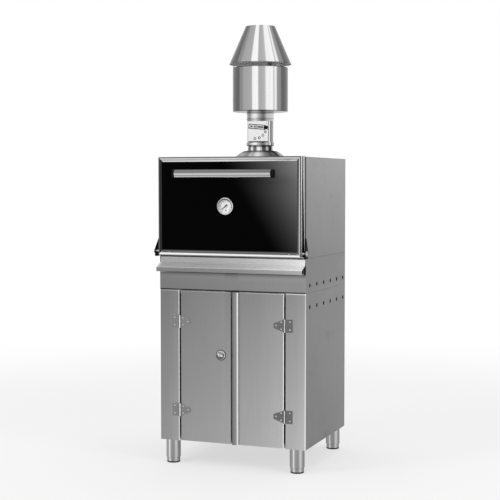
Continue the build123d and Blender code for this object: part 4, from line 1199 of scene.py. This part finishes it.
class Firebox(bpy.types.Operator):
    """Finish the firebox, its wool, the charcoal grate and the two racks of rods"""

    bl_idname = "oven.firebox"
    bl_label = "Firebox"

    def execute(self, context):
        iron = sooted("Firebox Iron", (0.1, 0.095, 0.09), 0.9, 0.6)
        rods = sooted("Heat-darkened Steel", (0.26, 0.24, 0.22), 0.35, 0.35)
        coat(iron, "firebox")
        coat(mill_steel(), "firebox_bearers", "grill_rails")
        coat(felted("Mineral Wool", (0.5, 0.46, 0.34), 900.0), "insulation_wrap", "door_insulation")
        refine("charcoal_grate", "stand", iron, "grate_iron", 0.002)
        tree = rack_tree(rods)
        for node in ("lower_grill", "upper_grill"):
            low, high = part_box(node)
            thick = high.z - low.z
            size = {"Width": high.x - low.x - thick, "Depth": high.y - low.y - thick, "Border": thick / 2}
            mesh = grown(node + ".rack", tree, {**size, "Rods": 27, "Rod": 0.0036})
            mesh.transform(Matrix.Translation((low + high) / 2))
            carry(node + ".rack", mesh, "stand", rods, "grill_steel", node)
        return {"FINISHED"}


class OvenDoor(bpy.types.Operator):
    """Finish the polished door frame, the black panel and the pressed inner sheet"""

    bl_idname = "oven.door"
    bl_label = "Oven Door"

    def execute(self, context):
        door = context.scene.oven_door
        frame_steel = polished_moulding("Door Frame", door.polish)
        enamel = enamelled("Black Enamel", door.enamel, door.glow)
        inner = sooted("Inner Door Sheet", (0.36, 0.35, 0.33), 0.55, 0.3)
        refine("door_frame", "oven_door", frame_steel, "polished_frame", 0.0011)
        refine("door_panel", "oven_door", enamel, "black_enamel", 0.0012)
        refine("door_liner", "oven_door", inner, "inner_steel", 0.003)
        return {"FINISHED"}


class DoorHinges(bpy.types.Operator):
    """Finish the black brackets and turn the polished pins of the oven door"""

    bl_idname = "oven.door_hinges"
    bl_label = "Oven Door Hinges"

    def execute(self, context):
        door = context.scene.oven_door
        paint = painted("Bracket Paint", door.bracket, 0.5, 700.0, gloss=0.05)
        brackets = joined_faces("door_brackets")
        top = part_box("door_brackets")[1].z
        for vert in brackets.verts:
            if vert.co.z > top - 0.0005 and vert.co.y < -0.3:
                vert.co.y = FRONT - 0.003
        show("door_brackets", brackets, "stand", paint, "bracket_black", edge=0.0006, outward=False)
        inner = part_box("door_frame")[1].x / MM - PIN_REACH
        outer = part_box("door_hinge_pins")[1].x / MM
        head = outer - 4
        pins = bmesh.new()
        for side in (-1, 1):
            outline = [
                (0, inner), (6, inner, 0.8), (6, head), (13, head, 0.4), (13, outer, 1.6), (3, outer, 1),
                (2.4, outer - 0.8), (0, outer - 0.8),
            ]
            turn_piece(pins, [(radius, side * x, *corner) for radius, x, *corner in outline], DOOR_AXIS, 48, "ACROSS")
        show("door_hinge_pins", pins, "stand", chrome("Polished Steel", door.polish), "pin_chrome")
        return {"FINISHED"}


class DoorHandle(bpy.types.Operator):
    """Turn the satin handle tube and finish its black caps and posts"""

    bl_idname = "oven.door_handle"
    bl_label = "Door Handle"

    def execute(self, context):
        low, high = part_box("handle_tube")
        centre = (0, (low.y + high.y) / 2, (low.z + high.z) / 2)
        end = high.x / MM
        outline = [(19, -end), (21, -end, 0.6), (21, end, 0.6), (19, end)]
        satin = rolled("Handle Tube", context.scene.oven_door.handle, HANDLE_REFLECTIONS, turn=TUBE_FACING)
        turned("handle_tube", outline, centre, 96, "ACROSS", "oven_door", satin, "handle_steel")
        refine("handle_mounts", "oven_door", black_moulding(), "handle_black", 0.0009)
        return {"FINISHED"}


def tick_tree(finish):
    """Printed ticks set round an arc, every fifth one longer."""
    sizes = dict.fromkeys(("Radius", "Start", "Sweep", "Length", "Thickness"), "Float")
    w, given = growth_tree("Dial Ticks", Ticks="Int", **sizes)
    row = {"Count": given["Ticks"], "Start Location": (0, 0, 0), "Offset": (0, 0, 0)}
    index = w.out("GeometryNodeInputIndex")
    share = w.maths("DIVIDE", index, w.less(given["Ticks"], 1.0))
    turn = w.less(given["Start"], w.times(share, given["Sweep"]))
    fifth = w.maths("LESS_THAN", w.maths("MODULO", index, float(TICKS_A_NUMBER)), 0.5)
    size = w.scaled(fifth, 0.9, 1.0)
    reach = w.less(given["Radius"], w.times(given["Length"], size, 0.5))
    place = w.joined(w.times(reach, w.maths("COSINE", turn)), w.times(reach, w.maths("SINE", turn)))
    set_out = {"Geometry": w.out("GeometryNodeMeshLine", row), "Position": place}
    ticks = {
        "Points": w.out("GeometryNodeSetPosition", set_out),
        "Instance": w.out("GeometryNodeMeshCube", {"Size": w.joined(given["Length"], given["Thickness"], 0.00006)}),
        "Rotation": w.joined(z=turn),
        "Scale": w.joined(size, w.scaled(fifth, 0.6, 1.0), 1.0),
    }
    return end_growth(w, w.out("GeometryNodeInstanceOnPoints", ticks), finish)


def number_mesh(text, height):
    """A flat printed number, centred on the origin, as a mesh."""
    curve = bpy.data.curves.new("Number", "FONT")
    curve.body = text
    curve.size = height
    curve.align_x = "CENTER"
    curve.align_y = "CENTER"
    curve.extrude = 0.00003
    return settled(placed("Number", curve))


class Thermometer(bpy.types.Operator):
    """Turn the bezel, print the dial and set the glass and the needle"""

    bl_idname = "oven.thermometer"
    bl_label = "Thermometer"

    def execute(self, context):
        door = context.scene.oven_door
        bezel = brushed("Bezel", [0.8 * part for part in door.polish], (300, 300, 300), rough=0.2, grain=0.15)
        ink = painted("Dial Print", door.print, 0.5, 3000.0)
        tail = (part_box("gauge_case")[1].y - FRONT) / MM
        outline = [
            (0, tail), (4, tail, 1.5), (4, -44), (42.5, -44), (42.5, -60, 1.6), (39.5, -63, 1.2), (38, -63, 0.5),
            (38, -61), (40.5, -61), (40.5, -46.5), (0, -46.5),
        ]
        self.turn("gauge_case", outline, bezel, "bezel_chrome")
        outline = [(1.6, -46.5), (40.4, -46.5), (40.4, -47.5), (1.6, -47.5)]
        self.turn("gauge_dial", outline, painted("Dial Face", door.dial, 0.4, 2600.0), "dial_white")
        self.scale(door, ink)
        outline = [(0, -59), (40.4, -59, 0.2), (40.4, -61, 0.2), (0, -61)]
        self.turn("gauge_glass", outline, clear_glass("Thermometer Glass"), "dial_glass")
        # Painted shadow of the bezel: a dark ring on the dial, widest at the top
        bezel_shadow = bmesh.new()
        turn_piece(bezel_shadow, [(34.5, -58.7), (37.5, -58.7), (37.5, -58.9), (34.5, -58.9)], GAUGE, MOST, "BACK")
        for vert in bezel_shadow.verts:
            if (vert.co - GAUGE).xz.length < 0.036:
                vert.co += Vector((-0.0012, 0, -0.0026))
        show("dial_gasket", bezel_shadow, "oven_door", ink, "needle_black")
        outline = [(0, -47.5), (3.2, -47.5), (3.2, -47.6), (0, -47.6)]
        turned("dial_dot", outline, GAUGE - Vector((0, 0, 0.021)), FEW, "BACK", "oven_door", ink, "needle_black")
        self.needle(ink)
        return {"FINISHED"}

    def turn(self, name, outline, finish, slot):
        turned(name, outline, GAUGE, MOST, "BACK", "oven_door", finish, slot)

    def scale(self, door, ink):
        """Prints the ticks and the numbers on the dial."""
        face = Matrix.Translation((GAUGE.x, DIAL_FACE, GAUGE.z)) @ FACE_FRONT
        size = {
            "Ticks": door.tick_count, "Length": 0.0028, "Thickness": 0.00042, "Radius": TICK_RADIUS,
            "Start": SCALE_START, "Sweep": SCALE_SWEEP,
        }
        ticks = grown("dial_ticks", tick_tree(ink), size)
        ticks.transform(face)
        carry("dial_ticks", ticks, "oven_door", ink, "needle_black")
        numbers = bmesh.new()
        marks = (door.tick_count - 1) // TICKS_A_NUMBER
        for step in range(marks + 1):
            mesh = number_mesh(str(DEGREES_A_NUMBER * step), door.numeral)
            turn = SCALE_START - SCALE_SWEEP * step / marks
            mesh.transform(Matrix.Translation((NUMBER_RADIUS * math.cos(turn), NUMBER_RADIUS * math.sin(turn), 0)))
            numbers.from_mesh(mesh)
        bmesh.ops.transform(numbers, matrix=face, verts=numbers.verts)
        show("dial_numbers", numbers, "oven_door", ink, "needle_black", outward=False)

    def needle(self, ink):
        """Widens the CAD's needle and turns it to where it rests in the photo."""
        needle = joined_faces("gauge_needle")
        tip = max(((vert.co - GAUGE).xz for vert in needle.verts), key=lambda reach: reach.length)
        along = tip.normalized()
        across = Vector((along.y, 0, -along.x))
        for vert in needle.verts:
            offset = (vert.co - GAUGE).dot(across)
            if abs(offset) < 0.0025:
                vert.co += across * offset * NEEDLE_GROWTH
        spin = Matrix.Translation(GAUGE) @ Matrix.Rotation(NEEDLE_TURN, 4, "Y") @ Matrix.Translation(-GAUGE)
        bmesh.ops.transform(needle, matrix=spin, verts=needle.verts)
        show("gauge_needle", needle, "gauge_needle", ink, "needle_black", edge=0.0002, outward=False)


class Flue(bpy.types.Operator):
    """Turn the skirt, the damper pipe with its bead and the beaded collar"""

    bl_idname = "oven.flue"
    bl_label = "Flue"

    def execute(self, context):
        flue = context.scene.oven_flue
        spigot = [
            (61, 1514), (63, 1514, 0.4), (63, 1588, 1), (66, 1593, 1), (66, 1613, 1), (63, 1618, 1), (63, 1650, 0.4),
            (61, 1650),
        ]
        self.turn("flue_spigot", spigot, rolled("Spigot Sheet", flue.sheet, SPIGOT_REFLECTIONS, 0.12))
        skirt = [
            (165, 1555), (165, 1557, 0.5), (124, 1569, 5), (107, 1583, 6), (86, 1594, 4), (68, 1597, 0.6),
            (66.2, 1597), (66.2, 1595), (84, 1592, 3), (105, 1581, 5), (122, 1567, 4), (157, 1555),
        ]
        # Painted reflection bands round the skirt, and painted shade lines at its two bends
        finish = rolled("Skirt Sheet", flue.sheet, SKIRT_REFLECTIONS, 0.4, metal=0.0, rims=(1.589, 1.594))
        self.turn("flue_skirt", skirt, finish)
        blank, drill = bmesh.new(), bmesh.new()
        pipe = [
            (63, 1620), (68, 1620, 1), (72.5, 1624.5, 3.5), (72.5, 1638.5, 3.5), (68, 1643, 1.5), (68, 1800),
            (66, 1800), (66, 1643, 1), (63, 1638.5, 1.5),
        ]
        turn_piece(blank, pipe, FLUE, flue.steps)
        turn_piece(drill, [(0, -75), (6.3, -75), (6.3, 75), (0, 75)], DAMPER, 40, "BACK")
        finish = rolled("Pipe Sheet", flue.sheet, PIPE_REFLECTIONS, 0.12)
        carry("flue_pipe", carved(blank, drill), "stand", finish, "flue_steel")
        collar = [
            (68, 1752), (70, 1752, 0.5), (70, 1757.4, 1.4), (73, 1758.5, 1.5), (73, 1763.5, 1.5), (70, 1764.6, 1.4),
            (70, 1787.4, 1.4), (73, 1788.5, 1.5), (73, 1793.5, 1.5), (70, 1794.6, 1.4), (70, 1800), (68, 1800),
        ]
        self.turn("flue_collar", collar, rolled("Collar Sheet", flue.sheet, COLLAR_REFLECTIONS))
        return {"FINISHED"}

    def turn(self, name, outline, finish):
        steps = bpy.context.scene.oven_flue.steps
        turned(name, outline, FLUE, steps, "UP", "stand", finish, "flue_steel")


class Damper(bpy.types.Operator):
    """Finish the index plate, the slotted lever, the blade and the sprung knob"""

    bl_idname = "oven.damper"
    bl_label = "Damper"

    def execute(self, context):
        tone = context.scene.oven_flue.plate
        face = brushed("Damper Plate", tone, (4, 500, 500), rough=0.3, grain=0.12)
        lever = brushed("Damper Lever", [0.9 * part for part in tone], (4, 500, 500), rough=0.3, grain=0.2)
        # Dark paint for the laser-cut edges, and for the painted shadow and shade below
        cut = painted("Laser-cut Edge and Painted Shade", (0.06, 0.058, 0.055), 0.5, 1500.0)
        for node, body, finish in (("damper_plate", "stand", face), ("damper_lever", "damper", lever)):
            piece = refine(node, body, finish, "damper_steel", 0.0003)
            recoat(piece, cut, lambda side: abs(side.normal.y) < 0.5)
        # Painted shadow: a dark sheet behind the lever, showing round its edges and through its slots
        lever_shadow, rims, dimples = bmesh.new(), bmesh.new(), bmesh.new()
        chamfered_block(lever_shadow, (-0.037, PLATE_FACE - 0.0011, -0.0125), (0.0565, PLATE_FACE - 0.0006, 0.0125), 0.0001)
        tilt = Matrix.Translation((0, 0, DAMPER.z)) @ Matrix.Rotation(math.radians(5), 4, "Y")
        bmesh.ops.transform(lever_shadow, matrix=tilt, verts=lever_shadow.verts)
        show("lever_spacer", lever_shadow, "damper", cut, "damper_steel", outward=False)
        # Painted shade: dark rings round the index holes
        for turn in map(math.radians, INDEX_ANGLES):
            spot = (INDEX_RADIUS * math.cos(turn), PLATE_FACE, DAMPER.z + INDEX_RADIUS * math.sin(turn))
            turn_piece(rims, [(4, -0.25), (7.2, -0.25, 0.1), (7.2, 0.1), (4, 0.1)], spot, 36, "BACK")
            turn_piece(dimples, [(0, 0.4), (3.4, 0.4), (3.4, 0.9), (0, 0.9)], spot, 24, "BACK")
        show("index_dimples", dimples, "stand", face, "damper_steel")
        for left, low, right, high in PLATE_BORDER:
            chamfered_block(rims, (left, PLATE_FACE - 0.0002, low), (right, PLATE_FACE + 0.0002, high), 0.00005)
        show("index_rims", rims, "stand", cut, "damper_steel")
        coat(sooted("Damper Blade", (0.3, 0.28, 0.26), 0.6, 0.4), "damper_blade")
        self.knob()
        return {"FINISHED"}

    def knob(self):
        low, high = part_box("damper_plunger")
        centre = ((low.x + high.x) / 2, FRONT, (low.z + high.z) / 2)
        front, back = (low.y - FRONT) / MM, (high.y - FRONT) / MM
        outline = [
            (0, back), (3, back, 0.6), (3, front + 14), (7, front + 14, 0.8), (9.5, front + 10.5, 1.4),
            (9.5, front, 3.2), (4, front, 1.2), (3, front + 0.5), (0, front + 0.5),
        ]
        turned("damper_plunger", outline, centre, 60, "BACK", "damper_plunger", black_moulding(), "knob_black")


def straps(work, outline, half_width):
    """Adds a bent strap at each support of the hat: its side view is given as (radius, height) in millimetres."""
    for angle in SUPPORTS:
        left, right = (
            [work.verts.new(Vector((radius, side * half_width, height)) * MM) for radius, height in outline]
            for side in (-1, 1)
        )
        work.faces.new(reversed(left))
        work.faces.new(right)
        for index in range(len(outline)):
            after = (index + 1) % len(outline)
            work.faces.new((left[index], left[after], right[after], right[index]))
        place = Matrix.Translation(FLUE) @ Matrix.Rotation(math.radians(angle), 4, "Z")
        bmesh.ops.transform(work, matrix=place, verts=left + right)


class Drum(bpy.types.Operator):
    """Turn the open drum with its ledges and finish the baffle inside it"""

    bl_idname = "oven.drum"
    bl_label = "Drum"

    def execute(self, context):
        drum = bmesh.new()
        outline = [
            (66, 1800), (144.5, 1800, 5), (144.5, 2028, 0.3), (143, 2028, 0.3), (143, 1801.5, 3.5), (66, 1801.5),
        ]
        turn_piece(drum, outline, FLUE, context.scene.oven_flue.steps)
        straps(drum, [(134, 1982.7), (143.5, 1982.7), (143.5, 1984.7), (134, 1984.7)], 11)
        show("drum_shell", drum, "stand", flue_metal(), "flue_steel")
        coat(sooted("Drum Baffle", (0.2, 0.2, 0.2), 0.7, 0.4), "drum_baffle")
        return {"FINISHED"}


class Hat(bpy.types.Operator):
    """Turn the open cone of the hat, with its folded rims, and fold its three legs"""

    bl_idname = "oven.hat"
    bl_label = "Hat"

    def execute(self, context):
        outline = [
            (160.8, 2046), (162.5, 2046, 0.6), (77, 2243, 0.9), (71, 2243, 0.4), (71, 2241.3, 0.4),
            (75.3, 2241.3, 0.6),
        ]
        steps = context.scene.oven_flue.steps
        cone = turned("hat_cone", outline, FLUE, steps, "UP", "hat", flue_metal(), "flue_steel")
        # Painted light: the cone's underside is pale and matt
        underside_light = painted("Hat Underside Painted Light", (0.85, 0.85, 0.85), 0.45, 900.0)
        recoat(cone, underside_light, lambda face: face.normal.z < -0.15)
        legs = bmesh.new()
        outline = [(139.3, 1985), (142.3, 1985), (142.3, 2069), (150.6, 2070), (146.2, 2080), (139.3, 2080)]
        straps(legs, outline, 10)
        show("hat_legs", legs, "hat", mill_steel(), "flue_steel", edge=0.0004)
        return {"FINISHED"}


def seen(w):
    """One for rays from the camera, a mirror or a glass, nothing for the rest."""
    path = w.add("ShaderNodeLightPath").outputs
    either = w.maths("MAXIMUM", path["Is Camera Ray"], path["Is Glossy Ray"])
    return w.maths("MAXIMUM", either, path["Is Transmission Ray"])


class Studio(bpy.types.Operator):
    """Lay the pale floor, set the soft lamps and place the camera"""

    bl_idname = "oven.studio"
    bl_label = "Studio"

    def execute(self, context):
        scene = context.scene
        studio = scene.oven_studio
        scene.view_settings.view_transform = "Standard"
        scene.world = self.room(studio)
        self.floor(studio)
        for name, place, aim, size, power in LAMPS:
            self.lamp(name, Vector(place), Vector(aim), size, power * studio.lamps)
        lens = bpy.data.cameras.new("Camera")
        lens.lens = studio.lens
        lens.sensor_width = 36
        lens.clip_end = 100
        scene.camera = placed("Camera", lens)
        scene.camera.location = studio.place
        scene.camera.rotation_euler = (studio.tilt, 0, studio.turn)
        return {"FINISHED"}

    def room(self, studio):
        world = bpy.data.worlds.new("White Room")
        w = emptied(world)
        light = w.out("ShaderNodeBackground", {"Color": (1, 1, 1, 1), "Strength": studio.sky})
        white = w.out("ShaderNodeBackground", {"Color": (1, 1, 1, 1), "Strength": 1.0})
        w.add("ShaderNodeOutputWorld", {"Surface": w.out("ShaderNodeMixShader", {0: seen(w), 1: light, 2: white})})
        return world

    def floor(self, studio):
        made = bpy.data.materials.new("Studio Floor")
        w = emptied(made)
        away = w.add("ShaderNodeVectorMath", {0: w.spot()}, operation="LENGTH").outputs["Value"]
        share = w.times(w.span(away, 1.5, 5.0, 0.62, 1.0), seen(w))
        matt = w.out("ShaderNodeBsdfDiffuse", {"Color": (*studio.floor, 1)})
        glow = w.out("ShaderNodeEmission", {"Color": (1, 1, 1, 1), "Strength": 1.0})
        w.add("ShaderNodeOutputMaterial", {"Surface": w.out("ShaderNodeMixShader", {0: share, 1: matt, 2: glow})})
        work = bmesh.new()
        bmesh.ops.create_circle(work, cap_ends=True, segments=96, radius=30)
        mesh = meshed("studio_floor", work, outward=False)
        mesh.materials.append(made)
        placed("studio_floor", mesh)

    def lamp(self, name, place, aim, size, power):
        light = bpy.data.lights.new(name, "AREA")
        light.shape = "RECTANGLE"
        light.size, light.size_y = size
        light.energy = power
        lamp = placed(name, light)
        lamp.location = place
        lamp.rotation_euler = (aim - place).to_track_quat("-Z", "Y").to_euler()
        lamp.visible_camera = False
        lamp.visible_glossy = False


PROPERTIES = {
    "oven_sheet": SheetProperties,
    "oven_door": DoorProperties,
    "oven_flue": FlueProperties,
    "oven_studio": StudioProperties,
}

OPERATORS = (
    CabinetShell, CabinetDoors, CabinetHinges, HingeScrews, CabinetLock, LegsAndFeet, BaseBand, AshDrawer, OvenCasing,
    RopeSeal, Firebox, OvenDoor, DoorHinges, DoorHandle, Thermometer, Flue, Damper, Drum, Hat, Studio,
)


class OvenPanel(bpy.types.Panel):
    """Lists the oven's pieces and their sizes and colours"""

    bl_label = "Charcoal Oven"
    bl_idname = "OVEN_PT_pieces"
    bl_space_type = "VIEW_3D"
    bl_region_type = "UI"
    bl_category = "Charcoal Oven"

    def draw(self, context):
        column = self.layout.column()
        for operator in OPERATORS:
            column.operator(operator.bl_idname)
        for name, group in PROPERTIES.items():
            box = column.box()
            box.label(text=group.__doc__)
            for each in group.__annotations__:
                box.prop(getattr(context.scene, name), each)


def register():
    for each in (*PROPERTIES.values(), *OPERATORS, OvenPanel):
        bpy.utils.register_class(each)
    for name, group in PROPERTIES.items():
        setattr(bpy.types.Scene, name, bpy.props.PointerProperty(type=group))


def unregister():
    for name in PROPERTIES:
        delattr(bpy.types.Scene, name)
    for each in reversed((*PROPERTIES.values(), *OPERATORS, OvenPanel)):
        bpy.utils.unregister_class(each)


def main():
    register()
    for operator in OPERATORS:
        step = getattr(bpy.ops.oven, operator.bl_idname.split(".")[1])
        step()


if __name__ == "__main__":
    main()
